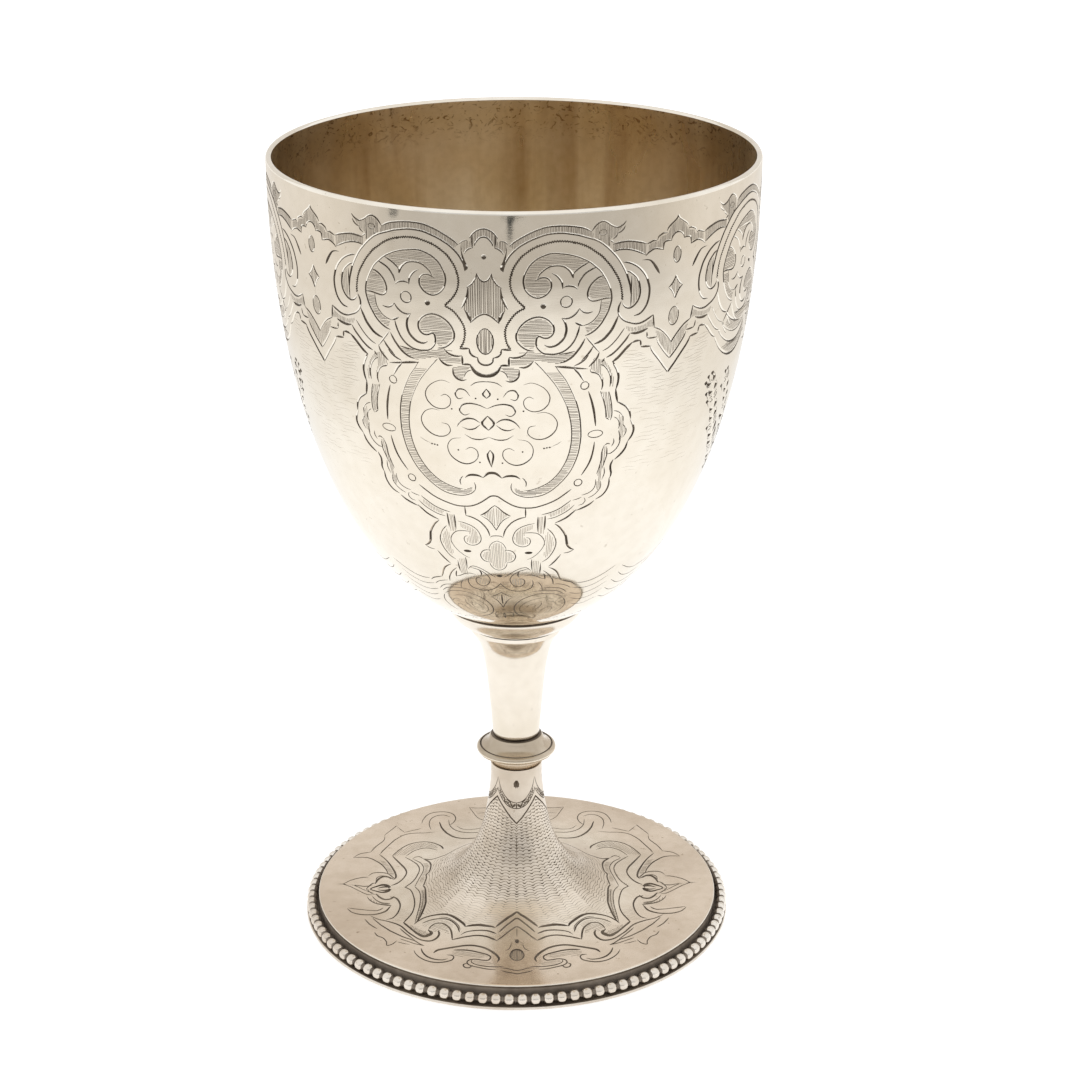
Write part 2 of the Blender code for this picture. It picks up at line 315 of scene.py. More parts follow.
def cut_depth(points, drawing, cell):
    """How far each point lies inside a cut, in millimetres from the cut's edge, with where it lies
    across the cut, as a share of the half width, the half width and the kind of cut."""
    bins = {}
    segments = []
    for pts, half, kind in drawing.paths:
        kx, ky = drawing.metric(pts[:, 1])
        for i in range(len(pts) - 1):
            h = max(half[i], half[i + 1])
            if h <= 0:
                continue
            gx, gy = h / min(kx[i], kx[i + 1]), h / min(ky[i], ky[i + 1])
            n = len(segments)
            segments.append((pts[i, 0], pts[i, 1], pts[i + 1, 0], pts[i + 1, 1], half[i], half[i + 1], kind))
            x0 = int(math.floor((min(pts[i, 0], pts[i + 1, 0]) - gx) / cell))
            x1 = int(math.floor((max(pts[i, 0], pts[i + 1, 0]) + gx) / cell))
            y0 = int(math.floor((min(pts[i, 1], pts[i + 1, 1]) - gy) / cell))
            y1 = int(math.floor((max(pts[i, 1], pts[i + 1, 1]) + gy) / cell))
            for ix in range(x0, x1 + 1):
                for iy in range(y0, y1 + 1):
                    bins.setdefault((ix, iy), []).append(n)
    segments = np.array(segments)
    inside = np.zeros(len(points))
    across = np.zeros((len(points), 2))
    width = np.zeros(len(points))
    kinds = np.zeros(len(points), int)
    keys = np.floor(points / cell).astype(int)
    order = np.lexsort((keys[:, 1], keys[:, 0]))
    start = 0
    while start < len(order):
        key = keys[order[start]]
        stop = start
        while stop < len(order) and (keys[order[stop]] == key).all():
            stop += 1
        ids = order[start:stop]
        start = stop
        near = bins.get((int(key[0]), int(key[1])))
        if not near:
            continue
        seg = segments[near]
        p = points[ids]
        kx, ky = drawing.metric(p[:, 1])
        k = np.column_stack([kx, ky])[:, None, :]
        a = seg[None, :, 0:2] * k
        b = seg[None, :, 2:4] * k
        q = p[:, None, :] * k
        ab = b - a
        t = np.clip(((q - a) * ab).sum(2) / np.maximum((ab * ab).sum(2), 1e-12), 0, 1)
        away = q - a - ab * t[..., None]
        off = np.linalg.norm(away, axis=2)
        h = seg[None, :, 4] * (1 - t) + seg[None, :, 5] * t
        best = np.argmax(h - off, axis=1)
        rows = np.arange(len(ids))
        inside[ids] = np.maximum(0, (h - off)[rows, best])
        across[ids] = away[rows, best] / np.maximum(h[rows, best], 1e-6)[:, None]
        width[ids] = h[rows, best]
        kinds[ids] = seg[best, 6]
    return inside, across, width, kinds


def cut_sheet(drawing, columns, rows, cell, inner_lattice=True):
    """Triangulates a rectangle of the unrolled surface around its cuts.
    Columns and rows are the lattice; returns 2D points, triangles, depths, which triangles are cut,
    which way they lie across a wide cut, and the kinds of cut."""
    x0, x1 = columns[0], columns[-1]
    y0, y1 = rows[0], rows[-1]
    verts, edges = [], []
    border = ([(x, y0) for x in columns] + [(x1, y) for y in rows[1:]]
              + [(x, y1) for x in columns[-2::-1]] + [(x0, y) for y in rows[-2:0:-1]])
    verts += border
    face = list(range(len(border)))
    if inner_lattice:
        for j, y in enumerate(rows[1:-1]):
            if j % 2:
                verts += [(x, y) for x in columns[1:-1]]
            else:
                verts += [(0.5 * (a + b), y) for a, b in zip(columns[:-1], columns[1:])]
    for pts, half, _ in drawing.paths:
        if pts[:, 0].max() < x0 or pts[:, 0].min() > x1 or pts[:, 1].max() < y0 or pts[:, 1].min() > y1:
            continue
        kx, ky = drawing.metric(pts[:, 1])
        true = np.gradient(pts, axis=0) * np.column_stack([kx, ky])
        true /= np.maximum(np.linalg.norm(true, axis=1), 1e-9)[:, None]
        normal = np.column_stack([-true[:, 1] / kx, true[:, 0] / ky])
        last = None
        for i in range(len(pts)):
            c = len(verts)
            verts.append(tuple(pts[i]))
            if half[i] > 1e-4:
                verts.append(tuple(pts[i] + normal[i] * half[i]))
                verts.append(tuple(pts[i] - normal[i] * half[i]))
                now = (c, c + 1, c + 2)
            else:
                now = (c, c, c)
            if last is None:
                if now[1] != now[0]:
                    edges += [(now[0], now[1]), (now[0], now[2])]
            else:
                edges += [(last[k], now[k]) for k in range(3)]
            last = now
        if last[1] != last[0]:
            edges += [(last[0], last[1]), (last[0], last[2])]
    edges = list({(min(e), max(e)) for e in edges if e[0] != e[1]})
    out = delaunay_2d_cdt([Vector(v) for v in verts], edges, [face], 1, 1e-6 * (x1 - x0))
    points = np.array([(v.x, v.y) for v in out[0]])
    tris = []
    for f in out[2]:
        for k in range(1, len(f) - 1):
            tris.append((f[0], f[k], f[k + 1]))
    tris = np.array(tris)
    tiny = 1e-5 * (x1 - x0)
    points[:, 0] = np.where(np.abs(points[:, 0] - x0) < tiny, x0, np.where(np.abs(points[:, 0] - x1) < tiny, x1, points[:, 0]))
    points[:, 1] = np.where(np.abs(points[:, 1] - y0) < tiny, y0, np.where(np.abs(points[:, 1] - y1) < tiny, y1, points[:, 1]))
    middle = points[tris].mean(axis=1)
    good = ((middle[:, 0] > x0) & (middle[:, 0] < x1) & (middle[:, 1] > y0) & (middle[:, 1] < y1))
    a, b, c = points[tris[:, 0]], points[tris[:, 1]], points[tris[:, 2]]
    area = (b[:, 0] - a[:, 0]) * (c[:, 1] - a[:, 1]) - (b[:, 1] - a[:, 1]) * (c[:, 0] - a[:, 0])
    good &= np.abs(area) > 1e-12 * (x1 - x0) ** 2
    tris, middle, area = tris[good], middle[good], area[good]
    tris[area < 0] = tris[area < 0][:, ::-1]
    used, tris = np.unique(tris, return_inverse=True)
    tris = tris.reshape(-1, 3)
    points = points[used]
    depth = cut_depth(points, drawing, cell)[0]
    depth[depth < 0.004] = 0
    edge = (points[:, 1] <= y0) | (points[:, 1] >= y1)
    depth[edge] = 0
    inside, across, width, kinds = cut_depth(middle, drawing, cell)
    in_cut = (inside > 0.003) & (depth[tris].max(axis=1) > 0)
    # from here on only the direction across counts, and only where a deep cut is wide enough for two walls
    size = np.linalg.norm(across, axis=1)
    across = across / np.maximum(size, 1e-9)[:, None]
    across[~in_cut | (width < 0.085) | (size < 0.05) | (kinds != DEEP)] = 0
    return points, tris, depth * SLOPE, in_cut, across, kinds


class Shell:
    """Collects pieces of one surface, with a material and a shading normal for every corner."""

    def __init__(self):
        self.points, self.tris, self.slots, self.normals, self.uvs = [], [], [], [], []
        self.count = 0

    def add(self, points, tris, slots, normals, uvs, flip=False):
        """Normals and uvs are per triangle corner; a normal of zero length takes the face's own."""
        if flip:
            tris, normals, uvs = tris[:, ::-1], normals[:, ::-1], uvs[:, ::-1]
        self.points.append(points)
        self.tris.append(tris + self.count)
        self.slots.append(slots)
        self.normals.append(normals)
        self.uvs.append(uvs)
        self.count += len(points)

    def build(self, name, materials):
        points = np.concatenate(self.points)
        tris = np.concatenate(self.tris)
        slots = np.concatenate(self.slots)
        normals = np.concatenate(self.normals)
        uvs = np.concatenate(self.uvs)
        _, first, back = np.unique(np.round(points, 4), axis=0, return_index=True, return_inverse=True)
        points = points[first]
        tris = back.reshape(-1)[tris]
        good = (tris[:, 0] != tris[:, 1]) & (tris[:, 1] != tris[:, 2]) & (tris[:, 0] != tris[:, 2])
        tris, slots, normals, uvs = tris[good], slots[good], normals[good], uvs[good]
        a, b, c = points[tris[:, 0]], points[tris[:, 1]], points[tris[:, 2]]
        flat = np.cross(b - a, c - a)
        flat /= np.maximum(np.linalg.norm(flat, axis=1), 1e-12)[:, None]
        none = np.linalg.norm(normals, axis=2) < 0.5
        normals = np.where(none[..., None], flat[:, None, :], normals)
        mesh = bpy.data.meshes.new(name)
        mesh.vertices.add(len(points))
        mesh.vertices.foreach_set("co", (points * MM).astype(np.float32).ravel())
        mesh.loops.add(len(tris) * 3)
        mesh.loops.foreach_set("vertex_index", tris.astype(np.int32).ravel())
        mesh.polygons.add(len(tris))
        mesh.polygons.foreach_set("loop_start", np.arange(0, len(tris) * 3, 3, dtype=np.int32))
        mesh.polygons.foreach_set("material_index", slots.astype(np.int32))
        mesh.polygons.foreach_set("use_smooth", np.ones(len(tris), bool))
        layer = mesh.uv_layers.new(name="OFBake")
        mesh.update(calc_edges=True)
        layer = mesh.uv_layers["OFBake"]
        layer.data.foreach_set("uv", uvs.reshape(-1, 2).astype(np.float32).ravel())
        for material in materials:
            mesh.materials.append(material)
        mesh.normals_split_custom_set(normals.reshape(-1, 3).tolist())
        obj = bpy.data.objects.new(name, mesh)
        bpy.context.scene.collection.objects.link(obj)
        print(f"{name}: {len(tris)} triangles")
        return obj


def turned(shell, r, z, angles, slots, uv_box, normals=None, closed_round=True):
    """Adds a grid swept round Z. Stations run so that the outside faces out when they go down."""
    r, z = np.asarray(r, float), np.asarray(z, float)
    n, m = len(r), len(angles)
    if normals is None:
        s = np.concatenate([[0], np.cumsum(np.hypot(np.diff(r), np.diff(z)))])
        dr, dz = np.gradient(r, s), np.gradient(z, s)
        size = np.maximum(np.hypot(dr, dz), 1e-9)
        nr, nz = -dz / size, dr / size
    else:
        nr, nz = normals
    sin, cos = np.sin(angles), np.cos(angles)
    points = np.stack([r[:, None] * sin, -r[:, None] * cos, np.repeat(z[:, None], m, 1)], -1)
    norm = np.stack([nr[:, None] * sin, -nr[:, None] * cos, np.repeat(nz[:, None], m, 1)], -1)
    u0, v0, u1, v1 = uv_box
    s = np.concatenate([[0], np.cumsum(np.hypot(np.diff(r), np.diff(z)))])
    v = v1 + (v0 - v1) * s / max(s[-1], 1e-9)
    idx = np.arange(n * m).reshape(n, m)
    tris, tri_slots, tri_norm, tri_uv = [], [], [], []
    slots = np.broadcast_to(slots, n - 1)
    for j in range(m if closed_round else m - 1):
        k = (j + 1) % m
        ua, ub = u0 + (u1 - u0) * j / m, u0 + (u1 - u0) * (j + 1) / m
        for i in range(n - 1):
            quad = ((i, j, ua), (i + 1, j, ua), (i + 1, k, ub), (i, k, ub))
            for pick in ((0, 1, 2), (0, 2, 3)):
                c = [quad[q] for q in pick]
                tris.append([idx[a, b] for a, b, _ in c])
                tri_norm.append([norm[a, b] for a, b, _ in c])
                tri_uv.append([(w, v[a]) for a, b, w in c])
                tri_slots.append(slots[i])
    shell.add(points.reshape(-1, 3), np.array(tris), np.array(tri_slots), np.array(tri_norm), np.array(tri_uv))


# =====================================================================
# the bowl's engraving. Across is mm from a panel's axis, measured at the rim, and down is mm
# along the outside from the rim.
# =====================================================================

def bowl_metric(s):
    r = np.interp(s, BOWL.s, BOWL.r)
    return np.maximum(r, 2.0) / RIM, np.ones(len(np.atleast_1d(s)))


def draw_band(d, front):
    """The strapwork band: half of one repeat, from the shield's axis to the lozenge's axis."""
    V = dict(way="v", pitch=0.2, width=0.11)
    # --- crown over the shield
    crown_outer = [(-1, 3.0), (0, 2.83), (0.83, 3.03), (1.5, 3.42), (2.0, 3.92), (2.33, 4.5)]
    crown_inner = [(-1, 4.33), (0, 4.22), (0.67, 4.42), (1.08, 4.83), (1.42, 5.33), (1.52, 5.75)]
    d.stroke(crown_outer, 0.24, ends=(0, 1))
    d.stroke(crown_inner, 0.26, ends=(0, 1))
    d.stroke([(1.95, 4.1), (1.92, 5.1), (1.87, 6.08)], 0.2)
    d.stroke([(1.85, 6.13), (2.33, 6.25), (2.75, 6.5), (3.08, 6.83), (3.25, 7.2)], 0.26)
    d.stroke([(2.8, 4.95), (3.42, 5.03), (3.75, 5.25), (4.05, 5.55)], 0.2)
    d.hatch([(-0.3, 2.95), (0.83, 3.15), (1.5, 3.5), (2.25, 4.4), (2.3, 5.0), (3.3, 5.15), (3.8, 5.6), (3.6, 7.0), (3.25, 7.0), (2.6, 6.3), (1.95, 6.05),
             (1.55, 5.4), (0.8, 4.35), (-0.3, 4.15)], **V)
    d.stroke([(3.86, 5.8), (3.78, 6.83), (3.6, 7.67), (3.4, 8.5), (3.2, 9.17), (3.05, 9.6), (3.2, 10.1)],
             (0.08, 0.12, 0.18, 0.26, 0.42, 0.62, 0.5), taper=0.35)
    d.dot(-0.02, 7.67, 0.46)
    # --- moulding over the circle
    top = [(4.3, 5.75), (4.75, 5.33), (5.17, 5.0), (6.0, 4.47), (7.0, 3.92), (8.0, 3.42), (9, 3.03), (10, 2.7), (11, 2.53),
           (12.33, 2.47), (13.5, 2.5), (14.67, 2.63), (15.83, 2.83), (16.67, 3.03), (17.33, 3.3), (18.05, 3.72)]
    low = [(3.45, 9.1), (3.67, 8.5), (4.0, 7.87), (4.5, 7.17), (5.17, 6.5), (6, 5.8), (7, 5.2), (8, 4.7), (9, 4.33), (10, 3.97), (11, 3.77),
           (12, 3.7), (13.33, 3.73), (14.67, 3.97), (15.83, 4.2), (17, 4.6), (18, 4.95), (19, 5.33), (20, 5.92),
           (21, 6.75), (22, 7.75), (22.83, 8.67), (23.67, 9.92), (24.33, 11.08), (24.75, 12), (25.08, 13),
           (25.33, 13.67), (25.55, 14.7), (25.63, 15.6)]
    d.stroke(top, 0.27)
    d.stroke(low, 0.3)
    d.hatch(top + [(18.3, 3.9), (18.5, 4.95)] + low[16:3:-1], **V)
    # --- the ring with its rocked edge
    ring_line = [(6.92, 16.53), (6.08, 15.75), (5.42, 15), (4.83, 14.08), (4.5, 13.17), (4.37, 12.17), (4.42, 11.33),
                 (4.67, 10.33), (5.08, 9.33), (5.67, 8.42), (6.33, 7.58), (7.17, 6.92), (8.08, 6.3), (9, 5.87),
                 (10, 5.53), (11, 5.28), (12, 5.12), (13, 5.13), (14, 5.22), (15, 5.42), (16, 5.7), (17, 6.1),
                 (18, 6.67), (19, 7.42), (20, 8.17), (20.83, 9.08), (21.67, 10.08), (22.33, 11.08), (23, 12.17),
                 (23.5, 13.33), (23.75, 14.33), (23.92, 15.33), (23.97, 16.4)]
    d.rope(ring_line)
    cusp = [(6.95, 16.58), (6.17, 16.92), (5.33, 17.5), (4.67, 18.25), (4, 19.25), (3.58, 20.17), (3.47, 21.17),
            (3.58, 22.17), (3.83, 23.08), (4.17, 23.67), (4.47, 24.17)]
    d.rope(cusp)
    d.stroke([(4.47, 24.13), (3.6, 24.02), (2.85, 24.0)], 0.34)
    d.stroke([(2.8, 24.1), (2.68, 24.75), (2.2, 25.3), (1.45, 25.6)], 0.32)
    d.stroke([(1.36, 25.6), (1.27, 26.2), (0.92, 26.65), (0.42, 26.9), (-0.5, 26.95)], 0.3, ends=(1, 0))
    # --- shield
    d.stroke([(-1.2, 10.6), (-0.9, 11.4), (-0.45, 11.85), (0, 11.95), (0.5, 11.8), (0.9, 11.3), (1.17, 10.65)], 0.26)
    d.stroke([(1.25, 10.6), (1.33, 11.2), (1.75, 11.9), (2.2, 12.5), (2.95, 13.05)], 0.26)
    d.stroke([(2.78, 13.1), (2.83, 14.1), (3.05, 14.9), (3.35, 15.6), (3.7, 16.3), (3.95, 16.75)], (0.24, 0.3, 0.42, 0.3))
    d.stroke([(3.5, 16.95), (3.0, 17.6), (2.65, 18.4), (2.38, 19.2)], (0.2, 0.4, 0.48, 0.3))
    d.stroke([(2.45, 19.3), (1.9, 18.7), (1.3, 18.2), (0.7, 17.85), (0, 17.66), (-0.7, 17.85)], 0.28, ends=(1, 0))
    d.hatch([(-0.3, 12.1), (0.55, 12.0), (1.1, 11.4), (1.25, 11.3), (2.1, 12.6), (2.7, 13.1), (2.75, 14.2), (3.3, 15.8), (3.6, 16.8),
             (2.9, 17.6), (2.4, 18.9), (1.5, 18.15), (0.7, 17.65), (-0.3, 17.5)], way="v", pitch=0.27, width=0.16)
    # --- drop and pendant
    d.ring(0, 22.6, 1.4, 2.33, 0.26)
    d.hatch([(-0.4, 20.4), (0.5, 20.5), (1.05, 21.3), (1.25, 22.6), (1.05, 23.9), (0.5, 24.7), (-0.4, 24.8)], **V)
    d.stroke([(-1, 28.72), (-0.5, 28.9), (0.1, 28.97), (0.8, 28.87), (1.5, 28.55), (2.1, 28.0), (2.45, 27.4), (2.8, 26.95)],
             (0.5, 0.52, 0.62, 0.5, 0.3), ends=(0, 1))
    d.stroke([(2.6, 27.0), (3.3, 26.92), (4.1, 27.0)], 0.34)
    d.stroke([(4.12, 25.5), (4.08, 26.3), (4.12, 27.05)], 0.3)
    d.stroke([(4.2, 25.4), (4.8, 25.53), (5.5, 25.5), (6.2, 25.3), (6.8, 24.95), (7.3, 24.35)], (0.26, 0.32, 0.2))
    d.stroke([(5.9, 27.3), (6.8, 27.35), (7.4, 27.1), (7.9, 26.7), (8.35, 26.15)], (0.24, 0.34, 0.24))
    d.stroke([(2.5, 27.95), (3.2, 28.2), (3.6, 28.6), (3.9, 29.3)], 0.18)
    d.stroke([(3.5, 29.8), (4.2, 30), (4.8, 29.9), (5.3, 29.6), (5.7, 29.1), (5.87, 28.5), (5.87, 27.8)], (0.18, 0.34, 0.22))
    d.hatch([(2.6, 27.3), (4.2, 27.3), (5.8, 27.6), (5.7, 28.8), (5.0, 29.7), (4.1, 29.75), (3.95, 29.0), (3.3, 28.15)], "h", 0.215, 0.105)
    # --- scroll in the circle, upper
    head = [(9.0, 11.33), (9.33, 10.67), (9.83, 10.17), (10.5, 9.67), (11.17, 9.38), (12, 9.28), (12.83, 9.33),
            (13.5, 9.53), (14.08, 9.92), (14.58, 10.42), (14.83, 10.83), (15.0, 11.5)]
    outer = [(18, 9.0), (17.17, 8.58), (16.17, 8.08), (15, 7.67), (14, 7.42), (13, 7.25), (12, 7.13), (11, 7.17),
             (10.17, 7.42), (9.17, 7.83), (8.33, 8.42), (7.67, 9.08), (7.17, 9.92), (6.75, 10.83), (6.58, 11.83),
             (6.67, 12.67), (7, 13.5), (7.67, 14.25), (8.42, 14.7), (9.17, 14.83), (10, 14.58), (10.75, 14),
             (11.25, 13.17), (11.3, 12.33), (11, 11.67), (10.5, 11.33), (9.83, 11.25), (9.17, 11.42), (8.62, 11.8)]
    d.stroke(outer, 0.24)
    d.stroke(head, (0.2, 0.22, 0.24, 0.3, 0.5), taper=0.6)
    d.stroke([(15.05, 11.0), (15.2, 10.67), (15.83, 10.08), (16.42, 9.67), (17.08, 9.33), (17.75, 9.0)], 0.24)
    d.hatch([(17.4, 8.9), (15, 7.9), (13, 7.45), (11, 7.4), (9.2, 8.05), (7.9, 9.2), (7.2, 10.4), (6.85, 11.9), (7.0, 13), (7.9, 14.2), (9, 14.6),
             (10.3, 14.2), (11.0, 13.2), (11.0, 12.2), (10.4, 11.55), (9.3, 11.5), (8.7, 11.5), (9.2, 10.4), (10.4, 9.4), (11.9, 9.05), (13.5, 9.3),
             (14.9, 10.3), (15.3, 10.3), (16.4, 9.4)], "h", 0.215, 0.105)
    d.stroke([(11.42, 10.58), (12.17, 11), (12.67, 11.5), (13.08, 12.17), (13.2, 12.83), (13.25, 13.35)], (0.2, 0.32, 0.22))
    d.stroke([(13.4, 13.1), (14.17, 12.92), (14.83, 13), (15.33, 13.17), (15.8, 13.55)], 0.28)
    d.stroke([(15.9, 13.1), (15.95, 12.75), (16.17, 12.17), (16.67, 11.42), (17.25, 10.83), (18.17, 10.33), (19.1, 9.95)], 0.26)
    d.ring(13.92, 15.68, 1.0, 1.0, 0.22)
    d.dot(9.98, 16.3, 0.5)
    # --- scroll in the circle, lower
    lower = [(8.33, 24.3), (7.5, 24.2), (6.67, 23.75), (6, 23.17), (5.5, 22.5), (5.33, 21.67), (5.5, 20.83),
             (5.92, 20), (6.5, 19.33), (7.25, 18.75), (8.17, 18.33), (9.17, 18.17), (10, 18.33), (10.83, 18.75),
             (11.5, 19.42), (11.83, 20.17), (11.83, 20.92), (11.5, 21.58), (11, 21.97), (10.33, 22.05),
             (9.75, 21.85), (9.33, 21.66), (9.0, 21.83), (8.8, 22.5), (8.8, 23.17), (9.08, 23.83), (9.58, 24.42),
             (10.17, 24.83), (11, 25), (12, 25.05), (13, 24.87), (13.83, 24.5), (14.67, 23.83), (15.33, 23),
             (15.83, 22), (16.17, 21), (16.3, 20.25)]
    d.stroke(lower, 0.26)
    d.hatch([(8.3, 24.0), (6.8, 23.5), (5.8, 22.4), (5.65, 21.2), (6.2, 20.0), (7.4, 19.0), (9.1, 18.5), (10.6, 18.95), (11.5, 20.0), (11.45, 21.2),
             (10.6, 21.8), (9.5, 21.4), (8.75, 21.8), (8.5, 22.6), (8.55, 23.4)], "h", 0.215, 0.105)
    d.stroke([(15.6, 19.55), (16.2, 19.85), (16.85, 20.15)], 0.34)
    d.stroke([(13.2, 18.6), (13.67, 19.25), (13.95, 20), (14.03, 20.75), (13.9, 21.5), (13.58, 22.25), (13, 22.92),
              (12.25, 23.45), (11.42, 23.67), (10.83, 23.6), (10.3, 23.3)], (0.24, 0.36, 0.36, 0.26))
    d.stroke([(13.2, 18.6), (14, 18.7), (14.75, 18.53), (15.33, 18.17), (15.83, 17.67), (16.2, 17.1)], 0.25)
    d.stroke([(16.25, 17.1), (16.67, 17.5), (17.17, 17.83), (17.83, 17.95), (18.55, 17.82)], 0.25)
    d.stroke([(12.9, 25.15), (14.5, 24.95), (15.6, 24.75)], 0.22)
    d.stroke([(13.0, 26.75), (14, 26.45), (14.83, 26), (15.58, 25.33), (16.25, 24.5), (16.8, 23.7), (17.35, 22.6)],
             (0.26, 0.36, 0.26))
    d.hatch([(4.5, 24.45), (8.5, 24.6), (9.4, 24.75), (10.6, 25.25), (12.5, 25.35), (15.9, 24.9), (15.0, 25.7), (13.6, 26.4), (12.6, 26.9), (8.7, 26.0),
             (7.6, 26.6), (6.6, 27.1), (4.4, 27.0), (4.4, 25.8), (6.0, 25.7), (7.3, 24.8)], "h", 0.215, 0.105)
    # --- finial by the circle
    d.stroke([(18.2, 3.65), (18.4, 3.4), (18.83, 2.83), (19.5, 2.37), (20.17, 2.2), (20.83, 2.42), (21.5, 2.92), (22.17, 3.3), (22.83, 3.47),
              (23.42, 3.3), (23.92, 3.0), (24.3, 2.6)], 0.26)
    d.stroke([(24.15, 3.4), (23.83, 3.92), (23.25, 4.33), (22.75, 4.5)], 0.24)
    d.stroke([(22.75, 4.5), (22.55, 4.95), (22.0, 5.4)], 0.22)
    d.stroke([(21.1, 3.1), (21.12, 4.6), (21.27, 6.5)], 0.18)
    d.stroke([(19.35, 5.1), (19.6, 5.3)], 0.24)
    d.ring(20.17, 4.1, 0.67, 0.45, 0.16)
    d.stroke([(21.45, 5.6), (22.1, 6.02)], 0.24)
    d.hatch([(18.6, 3.6), (19.3, 2.75), (20.2, 2.45), (21.0, 2.75), (22.2, 3.5), (23.9, 3.3), (23.0, 4.2), (22.3, 4.9), (21.3, 5.5), (21.5, 6.6),
             (20.8, 6.3), (19.6, 5.4), (18.6, 4.9)], **V)
    # --- the narrow rail beyond it
    rail_top = [(22, 6.3), (22.83, 6.17), (24, 6.05), (25, 6.08), (26, 6.25), (27, 6.5), (27.67, 6.7), (28.3, 6.95)]
    rail_low = [(22.1, 7.6), (23, 7.38), (24, 7.37), (25, 7.53), (26, 7.83), (27, 8.25), (27.67, 8.58), (28.15, 8.85)]
    d.stroke(rail_top, 0.3)
    d.stroke(rail_low, 0.27)
    d.hatch(rail_top + rail_low[::-1], **V)
    d.stroke([(25.63, 12.3), (25.66, 15), (25.67, 17.7)], 0.2)
    d.stroke([(23.75, 16.6), (23.42, 17.33), (23.3, 18.08), (23.5, 18.83), (24, 19.58), (24.75, 20.17), (25.83, 20.63), (27, 20.97),
              (28, 20.92), (29, 20.58), (29.83, 20.17), (30.35, 19.9)], 0.29)
    d.stroke([(30.4, 19.95), (30.53, 21), (30.78, 22.2)], 0.28)
    d.stroke([(30.75, 22.2), (31.67, 22.58), (32.33, 22.92), (33, 23.45), (33.67, 24.08), (34.3, 24.75), (34.97, 25.55)], 0.27, ends=(1, 0))
    # --- crescents
    d.stroke([(24, 9.63), (25, 9.83), (26, 10.25), (27, 10.92), (27.83, 11.75), (28.5, 12.67), (28.92, 13.67),
              (29.22, 14.67), (29.3, 15.67), (29.17, 16.83), (28.83, 17.83), (28.25, 18.67), (27.5, 19.25), (26.45, 19.45)],
             (0.26, 0.36, 0.34, 0.26))
    lens = [(24.5, 11.2), (25.33, 11.5), (26.08, 12.08), (26.67, 12.67), (27.08, 13.5), (27.33, 14.42), (27.42, 15.33),
            (27.25, 16.33), (26.83, 17.08), (26.17, 17.67), (25.5, 17.92), (24.83, 17.75), (24.33, 17.33), (24.05, 16.9)]
    d.stroke(lens, 0.28)
    d.hatch([(25.8, 12.1), (26.6, 12.9), (27.1, 14.2), (27.15, 15.8), (26.6, 16.95), (25.8, 17.55)], "v", 0.215, 0.095)
    d.kind = DARK
    d.stroke([(27.6, 9.75), (28.5, 9.8), (29.17, 10), (29.75, 10.5), (30.33, 11.25), (30.83, 12), (31.2, 12.6)],
             (0.1, 0.2, 0.4, 0.52, 0.36), taper=0.5)
    d.kind = DEEP
    # --- the lozenge panel's crest
    d.stroke([(28.5, 7.05), (29.17, 6.83), (29.83, 6.63), (30.4, 6.7)], 0.26)
    d.stroke([(30.55, 6.6), (30.8, 6.08), (31.33, 5.83), (31.83, 5.63), (32.55, 5.72)], 0.26)
    d.stroke([(32.5, 5.35), (32.83, 4.83), (33.33, 4.42), (34, 4.0), (34.67, 3.5), (34.97, 3.0)], 0.26, ends=(1, 0))
    d.stroke([(28.25, 9.08), (28.83, 8.58), (29.5, 8.25), (30.17, 8.08), (31, 8.25), (31.87, 8.5)], 0.26)
    d.stroke([(31.83, 8.5), (31.86, 7.83), (32.08, 7.25), (32.83, 7.08), (33.55, 7.2)], 0.26)
    d.stroke([(33.5, 7.15), (33.67, 6.67), (34.08, 6.17), (34.58, 5.92), (35.3, 5.84)], 0.26, ends=(1, 0))
    d.hatch([(28.6, 7.3), (29.8, 6.9), (30.9, 6.9), (31.2, 6.2), (32.7, 5.9), (33.3, 4.8), (34.97, 3.6), (34.97, 5.7), (33.8, 6.2), (33.3, 6.9),
             (32.0, 7.0), (31.6, 8.1), (30.2, 7.9), (28.8, 8.3)], **V)
    for y, rx, ry in ((9.83, 0.8, 1.42), (20.83, 1.08, 1.68)):
        d.ring(34.97, y, rx, ry, 0.24)
        d.hatch([(34.97 - rx * 0.8, y), (34.97 - rx * 0.5, y - ry * 0.75), (34.97, y - ry * 0.92), (34.97, y + ry * 0.92),
                 (34.97 - rx * 0.5, y + ry * 0.75)], "v", 0.215, 0.095)
    d.stroke([(34.97, 13.6), (34.6, 14.3), (34.1, 14.95), (33.4, 15.5)], 0.26, ends=(0, 1))
    d.stroke([(33.4, 15.5), (34.1, 16.05), (34.6, 16.8), (34.97, 17.6)], 0.26, ends=(1, 0))
    d.hatch([(34.97, 14.0), (34.2, 15.1), (33.8, 15.5), (34.3, 16.1), (34.97, 17.2)], "v", 0.215, 0.095)
